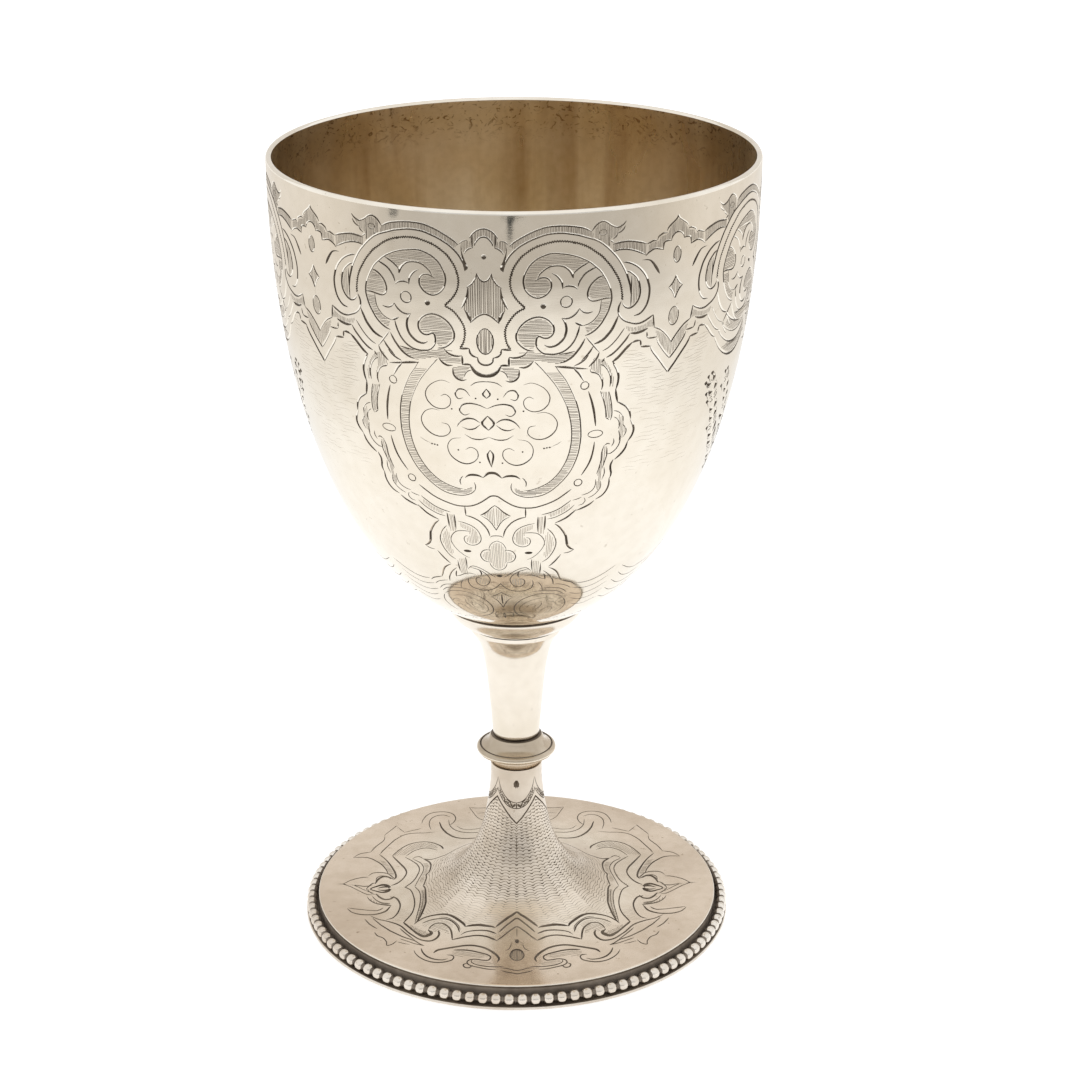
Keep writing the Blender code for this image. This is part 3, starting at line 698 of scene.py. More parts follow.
    # --- under the lozenge
    d.stroke([(26.0, 22.55), (27, 22.67), (28, 22.58), (29.35, 22.2)], 0.42)
    d.stroke([(29.3, 22.9), (29.42, 23.67), (29.7, 24.0)], 0.26)
    d.stroke([(29.6, 24.02), (30.5, 24.1), (31.5, 24.1)], 0.26)
    d.stroke([(31.6, 24.5), (32, 25.33), (32.67, 26.17), (33.42, 27.08), (34.2, 27.9), (34.97, 28.6)], 0.27, ends=(1, 0))
    d.stroke([(26.4, 24.35), (27.17, 24.13), (28.05, 24.15)], 0.34)
    d.stroke([(28.0, 24.15), (28.13, 24.5), (28.25, 25.15)], 0.3)
    d.stroke([(28.3, 25.4), (29.33, 25.47), (30.4, 25.6)], 0.34)
    d.stroke([(30.3, 25.6), (30.58, 26.17), (31.17, 27), (32, 27.92), (32.83, 28.83), (33.67, 29.83), (34.4, 30.6), (34.97, 31.25)], 0.36, ends=(1, 0))
    d.hatch([(24.6, 21.0), (26.5, 21.6), (28.5, 21.4), (30.2, 20.6), (30.5, 22.1), (29.5, 22.0), (27.5, 22.35), (25.5, 22.2)], "v", 0.215, 0.095)
    d.hatch([(30.9, 22.7), (32.6, 23.5), (34.0, 24.8), (34.97, 25.9), (34.97, 28.1), (33.5, 26.8), (32.2, 25.2), (31.6, 24.0)], "v", 0.215, 0.095)
    # --- arcs that wrap the circle below
    d.stroke([(19.1, 23.7), (20, 23.42), (20.83, 22.97), (21.58, 22.25), (22.25, 21.42), (22.75, 20.5), (23.08, 19.75), (23.35, 19.1)],
             (0.3, 0.42, 0.42, 0.3))
    d.stroke([(20.75, 25.13), (21.67, 24.7), (22.5, 24.08), (23.25, 23.33), (23.92, 22.5), (24.65, 21.5)], 0.2)
    d.stroke([(21.58, 26.42), (22.5, 26), (23.5, 25.25), (24.33, 24.42), (25.17, 23.5), (25.75, 22.65)], 0.3)
    d.stroke([(22.75, 27.4), (23.67, 26.8), (24.5, 26), (25.33, 25.17), (26.35, 24.35)], 0.42)
    # --- the inner circle's right side and half lens
    d.stroke([(17, 8.5), (18, 9.05), (19, 9.92), (19.83, 10.67), (20.58, 11.75), (21.17, 12.83), (21.67, 14), (21.92, 15),
              (21.97, 16), (21.75, 17), (21.42, 18), (20.92, 19), (20.17, 20.17), (19.17, 21.17), (18, 21.83), (17.4, 22.0)], 0.25)
    d.stroke([(20.5, 11.55), (19.5, 11.83), (18.67, 12.42), (18, 13.17), (17.67, 14), (17.58, 14.67), (17.83, 15.42), (18.33, 15.83), (19, 15.92),
              (20, 15.75), (21, 15.63), (22.0, 15.7)], 0.25)
    d.hatch([(20.4, 11.8), (19.1, 12.4), (18.1, 13.6), (17.9, 14.8), (18.5, 15.6), (20, 15.5), (21.7, 15.3), (21.5, 14.2), (20.9, 12.8)], "h", 0.215, 0.105)
    d.stroke([(20.1, 15.9), (20, 17), (19.83, 18), (19.33, 18.83), (18.67, 19.5), (17.83, 19.97), (16.95, 20.2)], 0.17)
    d.hatch([(20.2, 16.2), (21.7, 16.2), (21.3, 17.7), (20.5, 19.3), (19.2, 20.8), (17.7, 21.6), (17.3, 20.5), (18.8, 19.7), (19.9, 18.4)], "h", 0.215, 0.105)
    # --- short slanting cuts where the arcs meet
    d.stroke([(17.67, 22.42), (18.33, 23.17), (19.17, 24.17), (20.05, 25.2)], 0.26)
    d.stroke([(20.1, 25.4), (19.83, 26.17), (19.33, 26.83), (18.83, 27.33), (18.35, 27.8)], 0.3)
    d.stroke([(18.9, 24.2), (18.33, 25.08), (17.67, 25.83), (16.9, 26.65)], 0.3)
    d.stroke([(21.15, 26.6), (20.7, 27.2)], 0.3)
    # --- wandering scratches below the band
    d.kind = FAINT
    y, k = 25.9, 0
    while y < 50.5:
        spread = min(1.0, (y - 25.9) / 17)
        start = 24.6 + (2.2 if 33 < y < 47 and front else 0) + (2.0 if y > 39 and front else 0)
        stop = 34.97 if y > 31.8 else min(34.4, 27.2 + (y - 25.0) * 1.15)
        x = start + d.random.uniform(-0.3, 1.5 + 3 * spread)
        while x < stop - 0.8:
            run = min(d.random.uniform(2.6, 6.4), stop - x)
            slope = d.random.uniform(-0.01, 0.09)
            phase = d.random.uniform(0, 6.3)
            pts = [(x + run * q, y + slope * run * q + 0.11 * math.sin(phase + 1.9 * run * q)) for q in (0, 0.2, 0.4, 0.6, 0.8, 1)]
            d.stroke(pts, d.random.uniform(0.045, 0.075) * (1 - 0.35 * spread))
            x += run + d.random.uniform(0.3, 1.2 + 5 * spread)
        y += (0.42 + 0.45 * spread) * d.random.uniform(0.8, 1.25)
        k += 1
    d.kind = DEEP


def draw_cartouche(d):
    """The front and back panels: a framed field under the band, scrollwork round it, and a calyx under it."""
    d.stroke([(8.6, 26.35), (9.5, 27.25), (10.33, 28.2), (11.25, 29.3), (12.1, 30.4), (13, 31.8), (13.8, 33.3), (14.55, 35), (15.0, 36.6),
              (15.4, 38.4), (15.6, 40.4), (15.55, 42.3), (15.25, 44.1), (14.75, 45.7), (14, 47.2), (13.2, 48.4), (12.2, 49.5), (11, 50.45),
              (9.8, 51.05), (8.8, 51.45), (7.5, 51.8), (6.3, 51.9)], 0.18, ends=(1, 1))
    d.stroke([(12.25, 27.25), (13.1, 28.5), (14.1, 29.8), (15, 31.4), (15.9, 33.3), (16.6, 35.3), (17.05, 37.2), (17.3, 39.2), (17.42, 41.2),
              (17.25, 43.2), (16.95, 44.9), (16.4, 46.5), (15.7, 48), (14.8, 49.3), (13.8, 50.4), (12.6, 51.5), (11.3, 52.4), (10, 52.98),
              (8.5, 53.28), (6.8, 53.35), (5.4, 53.05), (4.4, 52.55), (3.8, 51.9), (3.6, 51.1), (3.8, 50.3)], (0.18, 0.2, 0.2, 0.18, 0.2, 0.18))
    d.stroke([(6.0, 49.15), (6.5, 49.7), (6.72, 50.3), (6.6, 51.0)], 0.2)
    inner = [(10.5, 28.2), (12.4, 30.4), (13.9, 33.2), (14.9, 36), (15.5, 39), (15.65, 42), (15.1, 45), (14, 47.4), (12.4, 49.6), (10.4, 51), (8, 51.9)]
    outer = [(13.0, 28.6), (15.1, 31.8), (16.4, 35), (17.1, 38.5), (17.2, 42), (16.6, 45.5), (15.2, 48.4), (13.3, 50.6), (11, 52.3), (8, 53.0)]
    d.hatch(inner[:8] + outer[6::-1], 4, 0.27, 0.1)
    d.hatch(inner[7:] + [(6.2, 52.1), (4.2, 51.2), (4.5, 52.3), (5.8, 53.0)] + outer[:5:-1], "h", 0.215, 0.105)
    d.stroke([(12.2, 27.35), (13.33, 27.47), (14.33, 27.58), (15.67, 27.83), (17, 28.03), (18.1, 28.2)], (0.22, 0.4, 0.3, 0.16))
    d.stroke([(18.1, 25.75), (17.5, 26.42), (16.67, 27), (15.7, 27.4)], 0.26)
    d.stroke([(15.6, 27.6), (15.7, 27.95), (16.67, 29), (17.45, 30.3)], (0.3, 0.4, 0.34))
    d.stroke([(18.6, 28.4), (18.83, 28.85), (19.67, 29.1), (20.4, 29.6), (20.95, 30.6), (21.15, 31.5), (21.0, 32.4)], 0.24)
    d.stroke([(20.5, 27.65), (21.17, 27.92), (21.83, 28.6), (22.35, 29.5), (22.67, 30.6), (22.6, 32.0)], 0.24)
    d.hatch([(19.2, 26.2), (21.2, 26.9), (22.3, 28.3), (23.3, 30.5), (23.2, 32.2), (22.8, 31.5), (22.2, 29.0), (21, 27.7), (20.6, 28.6), (21.3, 30.6),
             (21.2, 32.2), (20.8, 30.2), (19.4, 28.8), (18.5, 28.2)], "v", 0.215, 0.095)
    # --- outer contour, in lobes
    for pts in (
        [(22.85, 27.3), (23.1, 27.95), (23.7, 28.9), (24.15, 30.2), (24.15, 31.4), (23.85, 32.7)],
        [(23.8, 32.6), (23.95, 33.6), (24.4, 35.3)],
        [(24.3, 35.15), (25.2, 35.65), (26.3, 36.4), (27.1, 37.5), (27.5, 38.95)],
        [(27.45, 39.1), (28.2, 40.4), (28.45, 41.4), (28.2, 42.4), (27.4, 43.5)],
        [(27.35, 43.6), (26.95, 44.9), (26.1, 45.95), (24.9, 46.85)],
        [(24.55, 46.9), (24.1, 47.9), (24.2, 48.9), (24.45, 49.7), (24.3, 50.7)],
        [(24.15, 50.7), (24.25, 52.1), (23.95, 53.2), (23.1, 54.3), (21.7, 55.0)],
    ):
        d.stroke(pts, (0.28, 0.36, 0.28), taper=0.7)
    for pts in (
        [(20.8, 32.7), (21.6, 34.7), (22.1, 36.6), (22.3, 38.0), (22.9, 38.5)],
        [(22.5, 33.0), (22.95, 34.5), (23.3, 36.2), (23.4, 37.8), (23.2, 38.6)],
        [(23.8, 36.85), (24.8, 37.2), (25.65, 38.0), (26.0, 39.3)],
        [(23.9, 38.1), (24.7, 38.6), (25.2, 39.8), (25.0, 40.6)],
        [(25.9, 39.9), (26.6, 40.6), (26.75, 41.5), (26.3, 42.4)],
        [(25.1, 41.0), (25.5, 42.2), (25.6, 43.4), (25.0, 44.6), (23.9, 45.4), (23.1, 45.5)],
        [(24.2, 42.5), (24.3, 43.2), (23.9, 44.0)],
        [(22.4, 43.6), (23.0, 43.3), (23.5, 43.5)],
        [(22.3, 43.6), (21.9, 45.0), (21.9, 46.6), (21.6, 48.2), (21.2, 49.4)],
        [(23.0, 44.3), (23.0, 45.8), (22.6, 47.2), (22.3, 48.4)],
        [(22.7, 48.2), (22.9, 49.5), (22.5, 50.8)],
        [(21.1, 50.6), (21.2, 51.7), (20.7, 52.8), (19.7, 53.4), (18.4, 53.7)],
        [(22.3, 51.2), (22.4, 52.4), (21.8, 53.4), (20.9, 54.1), (19.9, 54.5)],
        [(19.0, 54.3), (19.3, 55.0), (18.8, 55.7), (17.9, 55.9)],
        [(16.6, 54.6), (17.6, 54.4), (18.4, 54.1)],
    ):
        d.stroke(pts, 0.19)
    d.hatch([(20.9, 32.8), (22.4, 33.0), (23.2, 36.2), (23.2, 38.2), (22.5, 38.2), (21.9, 35.7)], "v", 0.215, 0.095)
    d.hatch([(24.9, 37.6), (25.7, 38.6), (26.5, 40.7), (26.2, 42.2), (25.5, 43.7), (25.2, 41.6), (25.0, 39.6)], "v", 0.215, 0.095)
    d.hatch([(22.3, 43.8), (23.0, 43.9), (22.7, 47), (22.3, 49), (22.4, 52), (21.7, 53.3), (21.4, 52.3), (21.6, 50.2), (21.3, 48.9), (21.9, 46.5)], "v", 0.215, 0.095)
    # --- plain border's furniture
    d.ring(17.75, 31.3, 0.72, 0.72, 0.2)
    d.ring(17.35, 50.8, 0.72, 0.72, 0.2)
    d.ring(20.3, 41.0, 1.35, 0.72, 0.17)
    d.stroke([(18.5, 32.5), (19.2, 34.4), (19.75, 36.4), (20.05, 38), (20.25, 39.4)], (0.2, 0.36, 0.24))
    d.stroke([(20.2, 42.6), (20.1, 44), (19.7, 46), (19.0, 47.6), (17.9, 49.3)], (0.2, 0.3, 0.2))
    # --- calligraphic flourishes in the field, which carries no writing
    for pts, w in (
        ([(6.6, 30.6), (8, 30.25), (9.5, 30.75), (10.8, 31.8), (11.4, 33.1), (11.1, 34.4), (9.9, 35.5), (8.2, 35.7), (6.9, 34.9), (6.7, 33.6), (7.6, 32.9), (8.5, 33.3)], (0.08, 0.2, 0.12)),
        ([(9, 36.1), (10.5, 35.95), (11.9, 36.6), (12.8, 38), (12.6, 39.4), (11.4, 40.7), (9.9, 41.25), (8.3, 41.0), (7.3, 40.0), (7.6, 38.8), (8.8, 38.5)], (0.08, 0.22, 0.12)),
        ([(5.4, 41.2), (7.2, 41.6), (8.2, 43), (7.9, 44.8), (6.4, 46.1), (4.8, 46.45), (3.3, 45.9), (2.4, 44.7), (2.6, 43.5), (3.7, 43.0), (4.7, 43.5)], (0.08, 0.22, 0.12)),
        ([(-0.6, 30.1), (0.6, 30.05), (1.9, 30.3), (2.8, 30.9)], 0.16),
        ([(0.0, 35.2), (1.6, 34.5), (3.4, 34.3), (4.7, 34.8), (5.1, 35.8), (4.3, 36.6), (3.3, 36.3)], (0.14, 0.26, 0.14)),
        ([(0.0, 40.8), (1.5, 41.3), (3.2, 41.2), (4.6, 40.4)], (0.12, 0.22, 0.1)),
        ([(0.0, 33.2), (0.65, 32.4), (0.0, 31.4)], 0.26),
        ([(0.0, 36.6), (1.1, 38.0), (0.0, 39.4)], (0.26, 0.34, 0.26)),
        ([(1.5, 38.0), (2.6, 37.3), (4.0, 37.3), (5.2, 38.0), (5.9, 39.0)], (0.14, 0.3, 0.12)),
        ([(1.5, 38.4), (2.6, 39.2), (3.8, 39.4), (4.9, 39.0)], (0.12, 0.24, 0.1)),
        ([(0.0, 43.4), (0.55, 44.3), (0.0, 46.9)], (0.2, 0.3, 0.14)),
        ([(3.0, 32.9), (3.9, 31.8), (5.1, 31.7), (5.7, 32.6), (5.2, 33.5), (4.3, 33.3)], (0.12, 0.26, 0.14)),
    ):
        d.stroke(pts, w)
    for x, y in ((6.6, 35.6), (2.0, 33.3), (10.3, 43.1), (10.85, 43.0), (11.4, 42.95), (2.2, 46.0), (6.2, 43.7)):
        d.dot(x, y, 0.17)
    d.stroke([(11.8, 42.8), (12.8, 42.4), (13.6, 41.9)], 0.1)
    d.stroke([(-0.6, 48.15), (0, 48.1), (0.7, 48.2), (1.3, 48.6), (1.85, 49.15)], (0.5, 0.45, 0.3), ends=(0, 1))
    d.stroke([(1.95, 49.15), (2.8, 48.78), (3.9, 48.68), (4.8, 48.85), (5.5, 49.35)], (0.26, 0.42, 0.26))
    # --- bracket below the field
    d.stroke([(-0.6, 53.05), (0, 53.05), (0.7, 53.15), (1.5, 53.7), (2.7, 54.5), (4, 55.2), (5.3, 55.6), (6.8, 55.75), (8.3, 55.7), (10, 55.3),
              (11.7, 54.75), (13.2, 54.05), (14.5, 53.2), (15.95, 52.15)], 0.28, ends=(0, 1))
    d.stroke([(0.0, 55.2), (0.75, 55.7), (1.5, 56.45), (2.3, 57.05), (3.2, 57.55)], (0.16, 0.28, 0.4), ends=(0, 1))
    d.stroke([(3.0, 57.75), (1.7, 58.5), (0.85, 59.5), (0.0, 60.9)], 0.2, ends=(1, 0))
    d.hatch([(0, 55.6), (1.2, 56.5), (2.6, 57.5), (1.4, 58.5), (0, 60.4)], "v", 0.215, 0.095)
    d.stroke([(6.48, 55.85), (6.5, 56.8), (6.5, 57.8)], 0.28)
    d.stroke([(6.5, 57.85), (5.7, 58.0), (4.7, 58.35), (3.7, 58.9), (2.8, 59.75), (2.1, 60.7), (1.7, 61.7), (1.55, 62.4)], 0.3)
    d.stroke([(-0.5, 62.3), (0.5, 62.33), (1.0, 62.4), (1.5, 62.7)], 0.22, ends=(0, 1))
    d.stroke([(9.2, 57.9), (9.22, 59.6), (9.3, 61.4)], (0.3, 0.34, 0.14))
    d.stroke([(10.8, 57.7), (10.78, 59.4), (10.85, 61.0)], (0.24, 0.36, 0.16))
    d.hatch([(9.3, 58), (10.75, 57.8), (10.8, 62), (9.5, 61.8)], "v", 0.215, 0.095)
    d.stroke([(10, 57.4), (11.8, 57.0), (13.6, 56.3), (15, 55.4), (16.1, 54.6)], 0.22)
    d.stroke([(11.3, 58.45), (12.8, 58.2), (14.3, 57.6), (15.8, 56.75), (17, 55.7)], 0.2)
    d.hatch([(11.3, 57.4), (13.6, 56.6), (15.8, 55.3), (16.4, 55.8), (14.3, 57.3), (12, 58.1)], "v", 0.215, 0.095)
    d.stroke([(13.1, 59.5), (14.4, 59.0), (15.6, 58.4), (16.6, 57.6), (17.5, 56.85)], (0.3, 0.42, 0.3))
    d.stroke([(17.6, 57.0), (18.5, 56.75), (19.6, 56.35), (20.6, 55.85), (21.35, 55.3)], (0.3, 0.44, 0.3))
    scroll = [(8.5, 59.35), (6.8, 59.7), (5.5, 60.2), (4.4, 61.05), (3.85, 62.05), (3.65, 63), (3.9, 63.95), (4.7, 64.65), (5.85, 65),
              (6.9, 64.85), (7.6, 64.3), (7.75, 63.5), (7.4, 62.9), (6.8, 62.7)]
    d.stroke(scroll, 0.2)
    d.hatch([(8.0, 59.7), (5.6, 60.5), (4.3, 61.8), (4.0, 63), (4.7, 64.3), (5.9, 64.7), (7.1, 64.3), (7.2, 63.4), (6.2, 62.6), (6.4, 61.5), (8.2, 60.7)], "v", 0.215, 0.095)
    d.stroke([(6.0, 61.6), (7.9, 61.55), (9.3, 61.85), (10.3, 62.6), (10.95, 63.6), (11.2, 64.9)], 0.2)
    d.stroke([(7.2, 68.4), (8.2, 68.0), (9.2, 67.3), (10.1, 66.4), (10.8, 65.3), (11.1, 64.2)], 0.18)
    d.stroke([(11.5, 60.8), (12.6, 61.8), (13.4, 63), (13.85, 64.4), (13.7, 65.8), (13.1, 67.2), (12.2, 68.4), (11.0, 69.2)], 0.24)
    d.hatch([(11.4, 61.2), (12.9, 63), (13.4, 64.6), (12.9, 66.6), (11.8, 68.2), (11.2, 67.5), (11.4, 65), (11.2, 63)], "v", 0.215, 0.095)
    # --- quatrefoil
    d.stroke([(-0.5, 63.65), (0, 63.6), (1, 64.0), (1.7, 64.75), (2.05, 65.7), (1.95, 66.1)], 0.17, ends=(0, 1))
    d.stroke([(1.9, 66.0), (2.6, 65.9), (3.5, 66.2), (4.15, 66.9), (4.3, 67.6), (3.9, 68.5), (3.1, 69), (2.2, 69.1)], 0.24)
    d.stroke([(2.2, 69.2), (2.0, 70.0), (1.5, 70.7), (0.8, 71.15), (0, 71.3), (-0.5, 71.25)], 0.2, ends=(1, 0))
    d.hatch([(-0.3, 63.9), (0.9, 64.3), (1.7, 65.5), (2.0, 66.3), (3.4, 66.6), (3.9, 67.6), (3.2, 68.6), (1.9, 69.1), (1.4, 70.3), (0.3, 71.0), (-0.3, 71.0)], "v", 0.215, 0.095)
    d.dot(7.45, 66.6, 0.72, 0.33)
    # --- side contour with its leaf points
    for pts, w in (
        ([(13.1, 59.75), (14.15, 60.5), (14.9, 61.35), (15.55, 62.2), (16.05, 63.1), (16.3, 64), (16.6, 64.95), (17.1, 65.7), (17.8, 66.25), (18.6, 66.6)], (0.3, 0.45, 0.6, 0.4)),
        ([(18.5, 66.65), (17.5, 67.15), (16.2, 67.25)], 0.26),
        ([(15.5, 67.5), (14.75, 68.6), (13.9, 69.6), (12.85, 70.55)], (0.24, 0.46, 0.3)),
        ([(12.9, 70.8), (14.2, 71.4), (15.25, 72.2), (16, 73.2), (16.6, 74.2), (17.2, 75.0)], (0.24, 0.42, 0.42, 0.3)),
        ([(17.3, 75.0), (19, 75.5), (20.4, 75.95), (21.8, 76.8)], (0.3, 0.34, 0.2)),
        ([(22.2, 76.5), (25, 76.7), (28, 76.3), (31, 75.2), (34, 73.6)], 0.24),
    ):
        d.stroke(pts, w, ends=(1, 0) if pts[-1][0] > 35 else (1, 1))
    d.stroke([(8.3, 68.4), (8.35, 69.8), (8.5, 71.4)], (0.3, 0.3, 0.16))
    d.stroke([(10.6, 69.4), (10.7, 70.8), (10.75, 72.4)], (0.16, 0.32, 0.2))
    d.hatch([(8.4, 68.7), (10.4, 68.9), (10.7, 73), (8.8, 73.4)], "v", 0.215, 0.095)
    d.dot(0, 73.0, 0.52, 0.36)
    d.stroke([(1.1, 73.4), (2.0, 72.9), (2.8, 72.3), (3.6, 71.8), (5.0, 71.0), (7.0, 70.6), (8.3, 71.5)], 0.22)
    # --- scrolls at the foot of the panel
    d.stroke([(7.6, 71.0), (5.8, 71.4), (4.3, 72.1), (3.2, 73.1), (2.75, 74.0), (3.0, 75.0), (3.8, 75.9), (5.0, 76.3), (6.1, 76.0), (6.8, 75.2), (6.7, 74.3), (5.9, 73.8), (5.1, 74.1)], 0.22)
    d.hatch([(3.2, 74), (4.6, 73.6), (6.2, 73.8), (6.7, 74.8), (5.8, 75.9), (4.3, 75.9), (3.3, 75.1)], "v", 0.215, 0.095)
    d.stroke([(5.3, 71.6), (4.85, 72.5), (5.3, 73.3)], 0.38)
    d.stroke([(6.6, 73.0), (8.2, 72.75), (9.9, 73.2), (11.2, 73.8), (12.4, 74.1)], 0.22)
    d.stroke([(11.5, 71.6), (12.8, 72.5), (13.9, 73.6), (14.7, 74.8), (15.1, 76.0)], (0.2, 0.34, 0.26))
    d.stroke([(11.8, 72.5), (12.2, 73.4), (12.4, 74.2)], 0.34)
    d.stroke([(8.8, 74.3), (9.2, 75.1), (9.1, 76.1), (8.5, 76.9), (7.4, 77.4), (6.2, 77.7), (4.7, 77.7), (3.2, 77.5), (1.8, 76.9), (0.8, 76.2), (0, 75.3)], (0.22, 0.3, 0.22), ends=(1, 0))
    d.stroke([(10.6, 75.0), (11.8, 76.4), (12.2, 77.8)], 0.2)
    # --- waves and calyx, which close under the bowl
    for pts in (
        [(9.3, 78.1), (12, 77.8), (15, 78.0), (17.5, 78.6), (19.6, 79.8)],
        [(12.4, 76.9), (14.5, 77.0), (17, 77.4), (18.7, 78.1), (20.2, 79.2)],
        [(15.8, 75.9), (17.6, 76.3), (19.6, 77.0), (21.0, 77.9)],
        [(21.5, 77.9), (24.5, 78.5), (27.5, 78.5), (30.5, 77.7), (33, 76.3)],
        [(21.2, 79.6), (24.2, 80.4), (27.4, 80.6), (30.6, 80.0), (34, 78.4)],
        [(22.5, 81.6), (25.2, 82.5), (28.2, 82.8), (31.2, 82.3), (34.4, 80.9)],
        [(24.0, 84.0), (26.8, 84.8), (30.2, 85.0), (34.5, 83.7)],
    ):
        d.stroke(pts, 0.2, ends=(1, 0) if pts[-1][0] > 35 else (1, 1))
    d.stroke([(0, 78.2), (0.9, 78.7), (2.0, 79.3), (3.3, 79.8)], 0.24, ends=(0, 1))
    d.stroke([(3.1, 80.0), (1.7, 81.0), (0.8, 82.3), (0, 83.8)], 0.24, ends=(1, 0))
    d.stroke([(0, 79.0), (0.15, 80.5), (0, 82.4)], 0.24, ends=(0, 0))
    d.hatch([(0.3, 79.1), (2.2, 79.9), (1.0, 81.3), (0.3, 82.6)], "v", 0.215, 0.095)
    d.dot(0, 84.95, 0.36, 0.2)
    oval = [(19.6, 80.9), (17.5, 79.8), (15, 79.1), (12.5, 78.9), (10, 79.2), (7.8, 79.9), (6, 80.9), (4.7, 82.1), (3.85, 83.5), (3.75, 84.9), (4.4, 86.3),
            (5.8, 87.4), (8, 88.3), (10.5, 89.1), (14, 89.7), (18, 89.9)]
    d.stroke(oval, (0.16, 0.19, 0.22, 0.28, 0.28, 0.22, 0.16))
    for pts in (
        [(16.8, 81.2), (14.2, 80.5), (11.2, 80.6), (8.6, 81.4), (6.6, 82.6), (5.6, 84.0), (5.9, 85.5), (7.4, 86.7), (9.8, 87.5)],
        [(7.6, 84.4), (8.6, 83.2), (10.0, 82.6), (11.0, 83.2), (10.6, 84.4), (9.4, 84.9)],
        [(9.2, 86.2), (10.8, 85.4), (12.2, 84.2), (13.0, 82.8), (12.6, 81.8)],
        [(13.0, 86.8), (13.6, 85.4), (14.9, 84.4), (16.4, 84.2), (17.4, 85.0), (16.8, 86.2), (15.4, 86.4)],
        [(14.4, 82.4), (15.8, 82.0), (17.2, 82.4), (18.3, 83.4)],
        [(10.6, 88.1), (12.2, 87.6), (13.9, 87.9)],
    ):
        d.stroke(pts, 0.16)
    d.stroke([(19.9, 81.2), (21.2, 82.6), (21.8, 84.2), (21.2, 86), (19.6, 87.4)], 0.22)
    d.stroke([(1.0, 86.3), (2.2, 85.9), (3.3, 86.5), (3.5, 87.6), (2.6, 88.4), (1.5, 88.1)], 0.2)
    d.stroke([(0, 86.2), (0.4, 87.4), (0, 89.0)], 0.22, ends=(0, 0))
    for x in (1.4, 5.5, 9.5, 13.5, 17.5, 21.5, 25.5, 29.5, 33.0):
        d.stroke([(x, 91.0 + 0.3 * math.sin(x)), (x + 1.2, 90.4), (x + 2.4, 91.0)], 0.18)


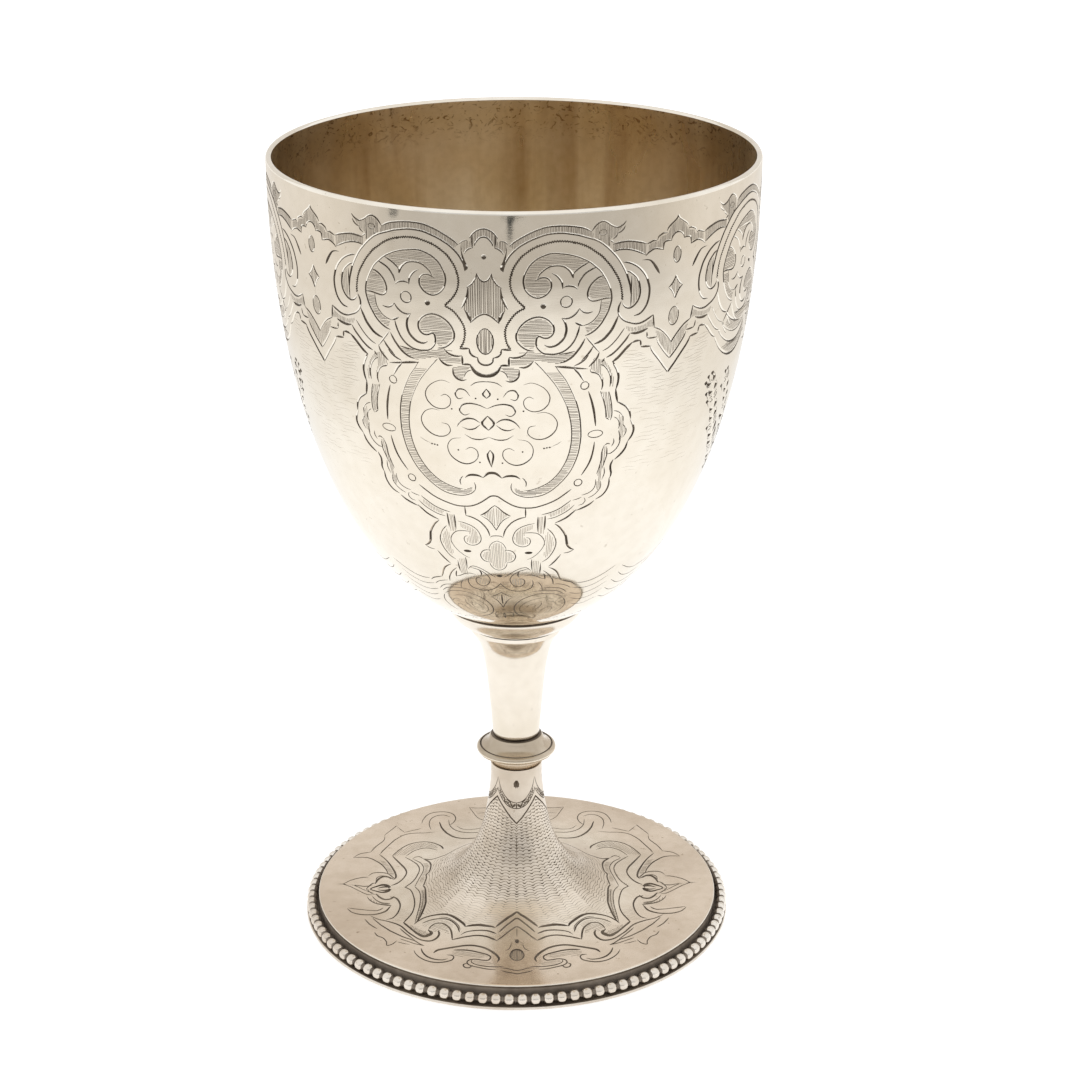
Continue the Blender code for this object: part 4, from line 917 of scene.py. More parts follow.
def draw_spray(d):
    """The side panels: the circles closed round below, and a leafy spray hanging free under them."""
    # --- the arcs carry on round under the circles
    d.stroke([(19.25, 23.6), (18.2, 24.6), (16.6, 25.6), (14.6, 26.4), (12.4, 26.9)], (0.3, 0.4, 0.3))
    d.stroke([(20.75, 25.2), (19.2, 26.5), (17.2, 27.6), (15.0, 28.3), (12.8, 28.4), (10.8, 27.8), (9.4, 26.8)], 0.2)
    d.stroke([(21.6, 26.5), (20.2, 27.8), (18.6, 28.9), (16.7, 29.8), (14.6, 30.3), (12.4, 30.2), (10.6, 29.4), (9.2, 28.0)], (0.26, 0.36, 0.26))
    d.stroke([(22.7, 27.5), (21.7, 28.6), (20.6, 29.8), (19.2, 30.9), (17.4, 31.9), (15.3, 32.6), (13.0, 32.7), (10.9, 32.1), (9.3, 31.0), (8.1, 29.6)],
             (0.3, 0.44, 0.4, 0.26))
    d.stroke([(8.1, 29.6), (7.6, 30.9), (6.6, 31.9), (5.2, 32.3), (3.8, 32.0)], 0.28)
    d.stroke([(3.7, 32.0), (2.6, 32.4), (1.4, 33.3), (0.6, 34.4), (0, 35.6)], 0.28, ends=(1, 0))
    d.hatch([(18.2, 25.0), (15.5, 26.4), (12, 27.1), (10, 26.9), (11.5, 27.9), (14.6, 28.1), (17.0, 27.4), (19.0, 26.2)], "h", 0.215, 0.105)
    d.hatch([(9.4, 27.0), (8.7, 27.9), (8.3, 29.2), (9.4, 30.7), (11.2, 31.8), (13.2, 32.3), (15.4, 32.2), (17.4, 31.4), (19.2, 30.4), (17.0, 30.1),
             (14.4, 30.6), (12, 30.4), (10.1, 29.3)], "h", 0.215, 0.105)
    # --- spray: a stem, leaves in pairs, and berries
    stem = [(0.6, 63.0), (2.6, 60.6), (5.6, 57.8), (9.2, 54.6), (12.6, 50.8), (15.4, 46.6), (17.6, 42.4), (19.4, 38.6), (21.2, 36.0)]
    d.stroke(stem, (0.34, 0.3, 0.26, 0.18))
    second = [(5.0, 58.4), (5.6, 55.0), (6.8, 51.2), (8.4, 47.4), (10.2, 43.6), (12.0, 40.2), (13.6, 37.4)]
    d.stroke(second, (0.28, 0.26, 0.16))
    path = curve_through(stem, 6)
    other = curve_through(second, 6)
    for route, count, grow in ((path, 14, 2.9), (other, 9, 2.5)):
        run = np.concatenate([[0], np.cumsum(np.linalg.norm(np.diff(route, axis=0), axis=1))])
        for n in range(1, count + 1):
            at = run[-1] * (n + 0.2) / (count + 0.7)
            p = np.array([np.interp(at, run, route[:, 0]), np.interp(at, run, route[:, 1])])
            q = np.array([np.interp(at + 0.4, run, route[:, 0]), np.interp(at + 0.4, run, route[:, 1])])
            t = (q - p) / max(np.linalg.norm(q - p), 1e-6)
            size = grow * (1.05 - 0.45 * n / count) * d.random.uniform(0.9, 1.1)
            for side in (-1, 1):
                a = math.radians(side * (46 + d.random.uniform(-8, 8)))
                w = np.array([t[0] * math.cos(a) - t[1] * math.sin(a), t[0] * math.sin(a) + t[1] * math.cos(a)])
                tip = p + w * size + t * 0.25
                base = p + w * size * 0.22
                bow = np.array([-w[1], w[0]]) * size * 0.13 * side
                if n % 3:
                    d.stroke([base, (base + tip) / 2 + bow, tip], (0.3, 0.72, 0.5), taper=0.7)
                    d.stroke([base + bow * 2.4, (base + tip) / 2 + bow * 3.6, tip + bow], 0.14)
                else:
                    belly = np.array([-w[1], w[0]]) * size * 0.28
                    d.stroke([base, (base + tip) / 2 + belly, tip], 0.2)
                    d.stroke([base, (base + tip) / 2 - belly, tip], 0.2)
                    d.stroke([base, (base + tip) / 2, base * 0.25 + tip * 0.75], 0.14)
    for x, y in ((22.2, 35.3), (22.9, 36.4), (21.0, 34.8), (21.9, 38.8), (20.9, 40.6), (14.6, 36.2), (13.4, 35.9), (15.4, 38.9), (11.1, 46.2), (17.9, 46.8), (9.9, 57.3), (3.2, 56.3)):
        d.stroke([(x - 0.9, y + 1.3), (x - 0.3, y + 0.55), (x, y + 0.35)], 0.14)
        d.kind = DARK
        d.dot(x, y, 0.4)
        d.kind = DEEP
    d.stroke([(0.7, 63.2), (0.0, 63.9), (-0.7, 63.2)], 0.34)
    for a in (-0.1, 1.0):
        d.stroke([(0.3 + a, 64.2), (1.3 + a * 1.3, 65.6), (1.6 + a * 2.1, 67.4)], (0.2, 0.36, 0.2))
    # --- waves and calyx, as on the other panels
    for pts in (
        [(-0.6, 71.8), (2.5, 71.9), (5.5, 73.0), (8.5, 73.4), (12, 73.4), (15, 74.3), (18, 75.4)],
        [(-0.6, 74.4), (3, 74.5), (6.5, 75.4), (10, 75.7), (14, 76.0), (17.5, 77.0), (21, 77.6)],
        [(17.5, 75.2), (20, 75.9), (23, 76.4), (26, 76.6), (29, 76.0), (33, 74.4)],
        [(21.5, 77.9), (24.5, 78.5), (27.5, 78.5), (30.5, 77.7), (33, 76.3)],
        [(21.2, 79.6), (24.2, 80.4), (27.4, 80.6), (30.6, 80.0), (34, 78.4)],
        [(22.5, 81.6), (25.2, 82.5), (28.2, 82.8), (31.2, 82.3), (34.4, 80.9)],
        [(24.0, 84.0), (26.8, 84.8), (30.2, 85.0), (34.5, 83.7)],
    ):
        d.stroke(pts, 0.2, ends=(0 if pts[0][0] < 0 else 1, 0 if pts[-1][0] > 35 else 1))
    oval = [(19.6, 80.9), (17.5, 79.8), (15, 79.1), (12.5, 78.9), (10, 79.2), (7.8, 79.9), (6, 80.9), (4.7, 82.1), (3.85, 83.5), (3.75, 84.9), (4.4, 86.3),
            (5.8, 87.4), (8, 88.3), (10.5, 89.1), (14, 89.7), (18, 89.9)]
    d.stroke(oval, (0.16, 0.19, 0.22, 0.28, 0.28, 0.22, 0.16))
    for pts in (
        [(16.8, 81.2), (14.2, 80.5), (11.2, 80.6), (8.6, 81.4), (6.6, 82.6), (5.6, 84.0), (5.9, 85.5), (7.4, 86.7), (9.8, 87.5)],
        [(7.6, 84.4), (8.6, 83.2), (10.0, 82.6), (11.0, 83.2), (10.6, 84.4), (9.4, 84.9)],
        [(9.2, 86.2), (10.8, 85.4), (12.2, 84.2), (13.0, 82.8), (12.6, 81.8)],
        [(13.0, 86.8), (13.6, 85.4), (14.9, 84.4), (16.4, 84.2), (17.4, 85.0), (16.8, 86.2), (15.4, 86.4)],
        [(14.4, 82.4), (15.8, 82.0), (17.2, 82.4), (18.3, 83.4)],
        [(10.6, 88.1), (12.2, 87.6), (13.9, 87.9)],
    ):
        d.stroke(pts, 0.16)
    d.stroke([(0, 78.2), (0.9, 78.7), (2.0, 79.3), (3.3, 79.8)], 0.24, ends=(0, 1))
    d.stroke([(3.1, 80.0), (1.7, 81.0), (0.8, 82.3), (0, 83.8)], 0.24, ends=(1, 0))
    d.dot(0, 84.95, 0.36, 0.2)
    d.stroke([(19.9, 81.2), (21.2, 82.6), (21.8, 84.2), (21.2, 86), (19.6, 87.4)], 0.22)
    for x in (1.4, 5.5, 9.5, 13.5, 17.5, 21.5, 25.5, 29.5, 33.0):
        d.stroke([(x, 91.0 + 0.3 * math.sin(x)), (x + 1.2, 90.4), (x + 2.4, 91.0)], 0.18)


# =====================================================================
# the foot's engraving, drawn as seen from above: x to the right, y away, front at the bottom
# =====================================================================

def foot_metric(q):
    r = np.interp(q, FOOT_Q, FOOT.r)
    return r, r


def leaned(turn, r):
    """The side figures were cut a little nearer to the front than to the back: where a drawn turn comes to lie."""
    shift = np.interp(r, (15, 18, 22.3, 27.5, 30, 32, 34.6), (0, -8.5, -6.4, -5.5, -4.5, -1.4, 0.2))
    t = np.clip((np.degrees(turn) - 55) / 35, 0, 1)
    return turn + np.radians(shift) * t * t * (3 - 2 * t)


def from_above(points):
    """Top view millimetres to (turn from the front, stretch)."""
    pts = np.array(points, float)
    r = np.hypot(pts[:, 0], pts[:, 1])
    turn = np.arctan2(pts[:, 0], -pts[:, 1])
    drawn = turn.copy()
    for _ in range(16):
        drawn = drawn - (leaned(drawn, r) - turn)
    return np.column_stack([drawn, np.interp(r, FOOT.r[20:], FOOT_Q[20:])])


def from_above_back(points):
    """The same for the back half, where y grows away from the front: (turn from the back, stretch)."""
    pts = np.array(points, float)
    r = np.hypot(pts[:, 0], pts[:, 1])
    turn = np.arctan2(pts[:, 0], pts[:, 1])
    drawn = turn.copy()
    for _ in range(16):
        drawn = drawn - (2 * drawn - leaned(drawn, r) - turn)
    return np.column_stack([drawn, np.interp(r, FOOT.r[20:], FOOT_Q[20:])])


def on_neck(points):
    """(degrees from the front, height) to (turn, stretch)."""
    pts = np.array(points, float)
    return np.column_stack([np.radians(pts[:, 0]), np.interp(-pts[:, 1], -FOOT.z, FOOT_Q)])


def foot_tools(d, place, heavy=1.0):
    def line(points, width=0.26, **more):
        d.stroke([tuple(p) for p in place(points)], width, **more)
        # the graver opened wider where it ran from side to side
        pts, half, kind = d.paths[-1]
        r = np.interp(pts[:, 1], FOOT_Q, FOOT.r)
        way = np.gradient(np.column_stack([r * np.sin(pts[:, 0]), r * np.cos(pts[:, 0])]), axis=0)
        share = np.abs(way[:, 0]) / np.maximum(np.hypot(way[:, 0], way[:, 1]), 1e-9)
        d.paths[-1] = (pts, half * heavy * (1.06 + 0.5 * share), kind)

    def shade(points, way="v", tone=FAINT, **more):
        d.hatch([tuple(p) for p in place(points)], way, shade=tone, **more)

    return line, shade


def draw_foot_front(d):
    line, shade = foot_tools(d, from_above)
    # --- border of the textured cone
    line([(-0.5, -15.55), (0, -15.35), (0.8, -15.95), (1.6, -16.5), (2.76, -17.6), (3.4, -18.3), (4.0, -19.05)], (0.24, 0.4, 0.34), ends=(0, 1))
    line([(4.15, -19.36), (4.8, -19.0), (5.55, -18.8), (7.18, -18.3), (8.58, -18.3), (9.86, -18.52)], (0.3, 0.52, 0.34))
    line([(9.98, -18.59), (10.23, -17.74), (11.18, -16.41), (12.38, -15.01), (13.81, -14.06), (15.92, -13.99), (18.02, -14.74), (19.72, -16.52)], (0.4, 0.46, 0.36, 0.26, 0.2))
    line([(19.9, -16.9), (19.55, -16.4), (18.75, -14.02), (18.13, -11.17), (17.86, -9.2), (17.92, -7.61), (18.0, -5.4), (18.17, -3.75), (18.55, -2.72)], (0.2, 0.36, 0.36, 0.26), ends=(1, 0))
    # --- parallels to it
    line([(-0.5, -17.05), (0.1, -16.85), (1.36, -18.01), (2.52, -19.4), (3.45, -20.8)], 0.24, ends=(0, 1))
    line([(4.02, -21.28), (5.31, -20.41), (6.7, -20.07), (8.56, -20.1), (9.95, -20.52), (10.75, -21.3)], (0.32, 0.24, 0.16))
    line([(-0.5, -19.4), (0.1, -19.2), (1.59, -20.68), (2.74, -22.26), (3.8, -23.5)], 0.24, ends=(0, 1))
    line([(3.9, -23.58), (5.76, -22.21), (7.61, -21.72), (9.93, -22.09), (12.41, -22.93)], (0.36, 0.28, 0.28))
    line([(11.07, -20.36), (11.37, -18.75), (12.1, -17.22), (13.3, -15.89), (14.95, -15.39), (16.82, -15.73), (18.31, -16.67)], (0.28, 0.24, 0.18))
    line([(10.9, -19.6), (11.3, -18.0), (12.4, -16.3), (13.6, -15.2), (15.0, -14.8)], 0.13)
    line([(19.74, -16.38), (19.43, -13.53), (19.05, -10.22), (18.97, -6.91), (19.38, -4.47), (20.23, -2.68)], (0.14, 0.19, 0.16))
    line([(19.3, -15.4), (18.8, -12.6), (18.5, -9.8), (18.42, -6.9), (18.6, -4.6)], 0.13)
    line([(21.98, -16.25), (20.45, -12.79), (20.04, -9.67), (20.32, -6.59), (21.09, -3.81), (22.27, -2.42)], (0.26, 0.24, 0.2), ends=(1, 0))
    shade([(18.3, -13.6), (18.15, -11), (17.95, -8), (18.15, -4.6), (18.9, -4.4), (18.75, -7), (18.9, -10), (19.3, -13.6), (19.6, -16)], 80, tone=FINE, pitch=0.26, width=0.1)
    # --- corner scroll
    line([(22.0, -16.0), (21.83, -16.32), (20.48, -18.42), (19.01, -20.5), (17.82, -21.4), (16.79, -20.86), (16.42, -20.26), (17.08, -19.25)], (0.36, 0.3, 0.32, 0.5, 0.66, 0.34))
    line([(28.51, -13.12), (26.9, -14.54), (24.87, -15.54), (22.62, -17.17), (20.65, -20.19), (18.25, -22.74), (16.5, -23.13), (15.37, -22.14), (14.94, -20.8), (15.13, -19.64)],
         (0.16, 0.22, 0.26, 0.26, 0.26, 0.34, 0.4))
    line([(28.02, -14.03), (26.36, -16.71), (23.9, -19.6), (21.6, -21.6), (19.63, -22.88), (18.6, -24.1), (17.72, -24.8)], (0.16, 0.24, 0.22, 0.2))
    line([(22.58, -18.29), (21.1, -20.6), (19.63, -22.6)], 0.2)
    line([(22.44, -22.07), (21.01, -23.02), (19.59, -23.97), (17.8, -24.8)], 0.16)
    line([(29.55, -14.34), (28.34, -16.58), (27.07, -18.02)], 0.2)
    line([(17.07, -19.14), (16.48, -17.7), (15.61, -16.97), (14.44, -17.07), (13.49, -17.96), (12.81, -19.28), (12.49, -21.18), (12.41, -22.85)], (0.2, 0.22, 0.26, 0.34, 0.3))
    line([(27.44, -19.39), (26.84, -20.69), (25.71, -21.59), (24.99, -23.08), (24.83, -24.33), (23.87, -23.97), (23.05, -22.78)], 0.18)
    line([(22.82, -23.2), (21.49, -23.89), (20.5, -24.23)], 0.15)
    shade([(13.2, -18.8), (13.9, -17.6), (15.2, -17.2), (16.6, -17.5), (17.2, -18.3), (16.2, -19.2), (16.0, -20.4), (15.4, -20.0), (14.6, -19.6), (13.0, -21)], "h", tone=FINE, pitch=0.3, width=0.09)
    shade([(18.6, -19.0), (20.2, -17.4), (21.2, -16.6), (20.4, -18.0), (19.0, -20.2), (17.8, -21.0), (17.0, -20.6), (17.6, -19.6)], "v", tone=FINE, pitch=0.26, width=0.11)
    shade([(12.6, -19.0), (13.6, -17.4), (15.3, -16.5), (17.0, -17.4), (18.0, -18.4), (18.6, -17.6), (17.2, -16.3), (15.2, -15.7), (13.3, -16.4), (12.2, -17.8)], "h", pitch=0.3, width=0.1)
    shade([(22.7, -11.0), (23.2, -13.4), (24.2, -14.8), (22.4, -16.0), (21.0, -14.4), (20.5, -12.0)], 70, pitch=0.42, width=0.08)
    # --- front pendant
    d.kind = DARK
    d.dot(0, float(from_above([(0.0, -23.85)])[0, 1]), 0.42, 0.72)
    d.kind = DEEP
    c = float(from_above([(0.0, -28.6)])[0, 1])
    d.ring(0, c, 1.32, 1.9, 0.26)
    line([(-0.4, -26.72), (0.3, -26.78), (0.9, -27.3), (1.26, -28.3)], (0.4, 0.34, 0.2), ends=(0, 1))
    shade([(-0.6, -26.9), (0.5, -26.95), (1.15, -28.0), (1.12, -29.4), (0.5, -30.35), (-0.6, -30.4)], "v", tone=FINE, pitch=0.2, width=0.14)
    line([(0, -19.7), (0, -21.0), (0, -22.4)], (0.16, 0.12))
    line([(1.1, -24.4), (1.2, -25.6), (1.6, -26.6), (2.4, -27.2)], 0.13)
    # --- scrolls beside it
    line([(3.68, -30.9), (3.41, -29.86), (3.87, -28.6), (4.8, -27.31), (6.19, -26.02), (8.04, -25.22), (9.65, -25.06), (11.94, -25.54), (13.54, -25.98), (15.1, -26.5), (15.81, -27.4)],
         (0.34, 0.42, 0.36, 0.34, 0.36, 0.4))
    line([(12.04, -26.58), (10.08, -26.64), (8.47, -27.03), (7.09, -27.67), (5.71, -28.35), (5.01, -29.21), (5.46, -30.33), (6.6, -30.3), (7.52, -29.99), (8.43, -29.96), (9.23, -30.36), (9.44, -31.19),
          (8.86, -32.05), (7.49, -32.71), (5.66, -33.4), (4.07, -33.61)], (0.3, 0.3, 0.26, 0.22, 0.22, 0.22))
    line([(8.43, -29.96), (8.65, -30.8), (7.96, -31.65), (6.13, -32.4), (4.31, -32.69), (2.49, -32.59)], (0.14, 0.24, 0.16))
    line([(8.41, -32.06), (9.08, -32.88), (9.88, -32.65), (10.12, -31.8), (9.5, -31.3)], 0.24)
    line([(19.63, -26.34), (19.24, -27.65), (18.4, -28.98), (16.88, -30.32), (15.04, -30.89), (13.44, -30.65), (12.32, -30.05), (11.99, -29.01), (12.35, -28.45), (13.27, -28.25)], (0.14, 0.22, 0.26, 0.2))
    line([(18.27, -25.77), (17.88, -27.29), (16.92, -28.82), (15.52, -29.73), (14.14, -29.99), (13.12, -29.6)], (0.24, 0.3, 0.16))
    line([(-0.5, -35.3), (0.69, -34.92), (2.03, -34.5), (2.94, -33.95)], 0.2, ends=(0, 1))
    line([(-0.5, -34.2), (0.8, -33.8), (2.0, -33.2), (3.2, -33.1)], 0.16, ends=(0, 1))
    shade([(5.4, -28.9), (7, -28.0), (10, -27.1), (12.4, -27.0), (12.2, -28.4), (9, -29.3), (7, -29.6)], "h", tone=FINE, pitch=0.3, width=0.09)
    shade([(4.3, -32.0), (5.2, -30.9), (6.6, -30.6), (8.2, -30.3), (8.3, -31.1), (6.2, -32.1)], "h", tone=FINE, pitch=0.32, width=0.08)
    # --- side motif: a waisted strap, an almond eye, sickles and a pointed leaf
    line([(24.93, -6.06), (23.9, -6.55), (23.05, -8.42), (22.87, -10.17), (23.33, -12.66), (24.26, -14.3), (25.35, -14.74)], (0.34, 0.32, 0.3, 0.3, 0.2))
    line([(29.42, -1.9), (28.7, -2.9), (27.85, -3.47), (26.47, -4.08), (25.5, -3.7), (25.15, -2.95)], (0.16, 0.24, 0.34, 0.5, 0.5), ends=(1, 0))
    line([(27.6, -2.9), (26.4, -3.3), (25.3, -3.2)], (0.14, 0.3, 0.44), ends=(1, 0))
    line([(29.9, -2.3), (29.33, -3.31), (28.48, -4.46), (27.6, -4.9)], 0.18)
    line([(27.8, -4.52), (27.06, -5.94), (26.01, -6.93), (24.9, -6.86), (24.2, -5.9)], (0.26, 0.4, 0.44, 0.3))
    line([(34.59, 0.0), (32.91, -1.32), (31.24, -3.08), (29.82, -4.48), (28.57, -4.91)], (0.14, 0.2, 0.24), ends=(0, 1))
    line([(32.31, -0.75), (31.09, -1.91), (29.88, -3.2), (28.5, -4.0)], 0.17, ends=(0, 1))
    line([(33.22, -9.93), (32.13, -11.55), (29.86, -12.59), (27.43, -12.55), (25.7, -11.59), (24.78, -9.71)], (0.16, 0.24, 0.3, 0.4, 0.3))
    line([(33.01, -9.72), (31.08, -10.39), (28.83, -11.0), (27.05, -11.05), (26.2, -10.24)], (0.2, 0.2, 0.3))
    line([(29.55, -5.51), (28.91, -7.0), (27.62, -8.36), (26.03, -9.02), (24.68, -9.42)], (0.14, 0.22, 0.3, 0.5))
    line([(28.54, -5.36), (27.8, -6.91), (26.51, -8.22), (24.93, -8.7)], (0.14, 0.22, 0.44))
    shade([(28.9, -6.2), (28.3, -7.0), (27.2, -8.2), (25.4, -8.9), (24.7, -9.3), (25.7, -9.3), (27.4, -8.7), (28.6, -7.6)], "h", tone=FINE, pitch=0.28, width=0.1)
    shade([(28.4, -2.6), (29.6, -2.4), (31.0, -1.6), (30.2, -2.8), (29.3, -3.4)], "h", pitch=0.3, width=0.08)


def draw_foot_back(d):
    line, shade = foot_tools(d, from_above_back, 0.84)
    # --- border of the textured cone and its parallels
    line([(18.86, 9.04), (17.64, 7.2), (17.25, 5.42), (17.51, 2.65), (18.06, 1.6), (18.01, 0.13), (18.45, -2.6)], (0.26, 0.34, 0.3, 0.26), ends=(1, 0))
    line([(18.63, 8.96), (17.44, 8.3), (16.29, 8.6), (14.3, 9.6), (12.6, 11.4), (11.0, 13.2), (9.0, 14.6), (6.0, 15.2), (3.0, 15.4), (-0.4, 15.4)], (0.24, 0.14, 0.12), ends=(1, 0))
    line([(18.86, 9.04), (19.83, 10.25), (20.53, 10.08), (21.08, 9.38)], 0.18)
    line([(22.63, 10.39), (21.05, 8.34), (19.94, 6.38), (19.52, 4.12), (20.0, 1.28), (20.85, -0.83), (22.1, -2.5)], (0.16, 0.22, 0.24, 0.2), ends=(1, 0))
    line([(21.08, 9.38), (19.4, 7.23), (18.7, 4.9), (18.8, 3.0), (19.3, 1.0), (19.8, -0.9), (20.2, -2.6)], (0.14, 0.2, 0.14), ends=(1, 0))
    shade([(18.0, 6.8), (17.65, 5.2), (17.9, 2.8), (18.45, 1.4), (18.5, -0.4), (18.8, -1.8), (19.4, -0.4), (18.9, 1.4), (18.5, 3.0), (18.4, 4.9), (18.9, 6.8)], 80, tone=FINE, pitch=0.26, width=0.09)
    # --- back scrolls
    line([(16.05, 26.32), (15.5, 23.52), (14.24, 20.58), (12.54, 18.51), (10.64, 17.66), (8.51, 17.58), (5.0, 17.9), (2.2, 18.7), (-0.4, 19.6)], (0.3, 0.44, 0.36, 0.3, 0.28), ends=(1, 0))
    line([(14.15, 27.34), (13.85, 24.54), (12.61, 22.16), (10.69, 20.82), (8.32, 20.63), (5.6, 21.0), (3.4, 22.0)], (0.16, 0.22, 0.22, 0.16))
    line([(12.42, 24.19), (11.19, 22.6), (9.53, 22.25), (8.1, 22.56), (6.2, 23.4)], 0.16)
    line([(19.74, 25.71), (19.44, 27.9), (18.31, 30.34), (16.65, 31.21), (14.72, 31.12), (13.37, 30.11), (12.73, 28.11), (13.05, 26.16), (13.86, 24.7)], (0.14, 0.22, 0.2, 0.24, 0.2))
    line([(17.74, 22.84), (18.18, 25.61), (17.77, 28.09), (16.6, 29.42), (15.17, 29.63), (13.94, 28.73)], (0.16, 0.22, 0.16))
    line([(9.93, 33.21), (8.47, 32.85), (6.54, 32.9), (3.5, 33.5), (-0.4, 34.1)], 0.17, ends=(1, 0))
    line([(9.93, 33.21), (9.3, 31.4), (8.3, 28.5), (7.2, 27.04), (4.8, 26.0)], 0.15)
    # the faint cuts over this patch stand for a darker reflection there: painted reflection
    shade([(9.3, 32.8), (8.4, 32.4), (6.5, 32.4), (3.0, 33.0), (-0.3, 33.5), (-0.3, 29.4), (4.0, 28.8), (6.6, 28.2), (8.0, 29.0)], "h", pitch=0.42, width=0.08)
    # --- hatched leaf beside them and the arcs over it
    line([(25.23, 11.25), (23.71, 14.21), (21.91, 16.26), (19.58, 17.08), (17.69, 16.72), (16.24, 15.54), (15.27, 14.17), (14.96, 12.92)], (0.3, 0.26, 0.22, 0.26, 0.42))
    line([(22.42, 10.88), (20.63, 13.28), (18.55, 14.08), (17.13, 13.46), (16.16, 12.57)], (0.2, 0.22, 0.14))
    shade([(24.9, 11.3), (23.5, 13.9), (21.8, 15.9), (19.6, 16.7), (17.8, 16.3), (16.5, 15.2), (16.0, 13.6), (17.3, 14.0), (18.6, 14.6), (20.9, 13.8), (22.6, 11.4)], "h", tone=FINE, pitch=0.3, width=0.085)
    line([(27.74, 12.48), (26.58, 15.48), (24.83, 18.76), (23.02, 20.76), (21.14, 21.32), (19.0, 21.28), (16.88, 21.58)], (0.26, 0.24, 0.2, 0.14))
    line([(33.16, 11.14), (31.85, 12.71), (29.77, 13.27)], (0.16, 0.2))
    line([(29.77, 13.27), (28.72, 15.91), (27.3, 18.41), (27.17, 20.4)], (0.2, 0.22, 0.14))
    line([(27.3, 20.6), (26.3, 22.7), (24.97, 25.04), (24.06, 23.26), (23.18, 21.84)], 0.16, smooth=False)
    line([(23.18, 21.84), (21.66, 22.55), (19.78, 23.4)], 0.16)
    # --- side motif: strap, sickles, almond eye and pointed leaf
    line([(25.23, 11.25), (23.71, 7.97), (22.45, 5.26), (22.09, 3.23), (22.74, 0.9), (23.83, -0.74), (24.9, -1.5)], (0.2, 0.32, 0.34, 0.28, 0.3))
    line([(33.16, 11.14), (31.06, 11.09), (29.15, 10.07), (27.42, 7.91), (26.26, 5.33), (25.71, 3.28)], (0.16, 0.22, 0.26, 0.18))
    line([(27.96, 12.25), (26.57, 9.85), (25.28, 6.68), (24.34, 3.56), (24.16, 1.83), (24.4, 1.1)], (0.18, 0.24, 0.36, 0.48))
    shade([(27.7, 9.7), (26.7, 9.4), (25.5, 6.4), (24.6, 3.5), (24.6, 2.2), (25.6, 3.6), (26.1, 5.6), (27.2, 8.0)], "v", tone=FINE, pitch=0.28, width=0.1)
    line([(29.73, 2.97), (28.86, 4.1), (27.25, 4.21), (25.84, 3.54), (25.1, 2.46), (24.36, 1.14)], (0.14, 0.2, 0.2, 0.28))
    line([(28.14, 0.91), (27.96, 2.09), (27.19, 2.75), (25.78, 2.22), (24.47, 0.92)], (0.16, 0.2, 0.28))
    line([(34.59, 0.0), (33.32, 1.36), (31.99, 2.1), (30.63, 2.5), (29.7, 2.48)], (0.14, 0.2, 0.16), ends=(0, 1))
    line, shade = foot_tools(d, from_above)
    line([(29.42, -1.9), (28.7, -2.9), (27.85, -3.47), (26.47, -4.08), (25.5, -3.7), (25.15, -2.95)], (0.16, 0.24, 0.34, 0.5, 0.5), ends=(1, 0))
    line([(27.6, -2.9), (26.4, -3.3), (25.3, -3.2)], (0.14, 0.3, 0.44), ends=(1, 0))
    line([(29.9, -2.3), (29.33, -3.31), (28.48, -4.46), (27.6, -4.9)], 0.18)
    line([(27.8, -4.52), (27.06, -5.94), (26.01, -6.6), (25.1, -6.4), (24.5, -5.7)], (0.26, 0.36, 0.36, 0.24))
    line([(32.31, -0.75), (31.09, -1.91), (29.88, -3.2), (28.5, -4.0)], 0.17, ends=(0, 1))


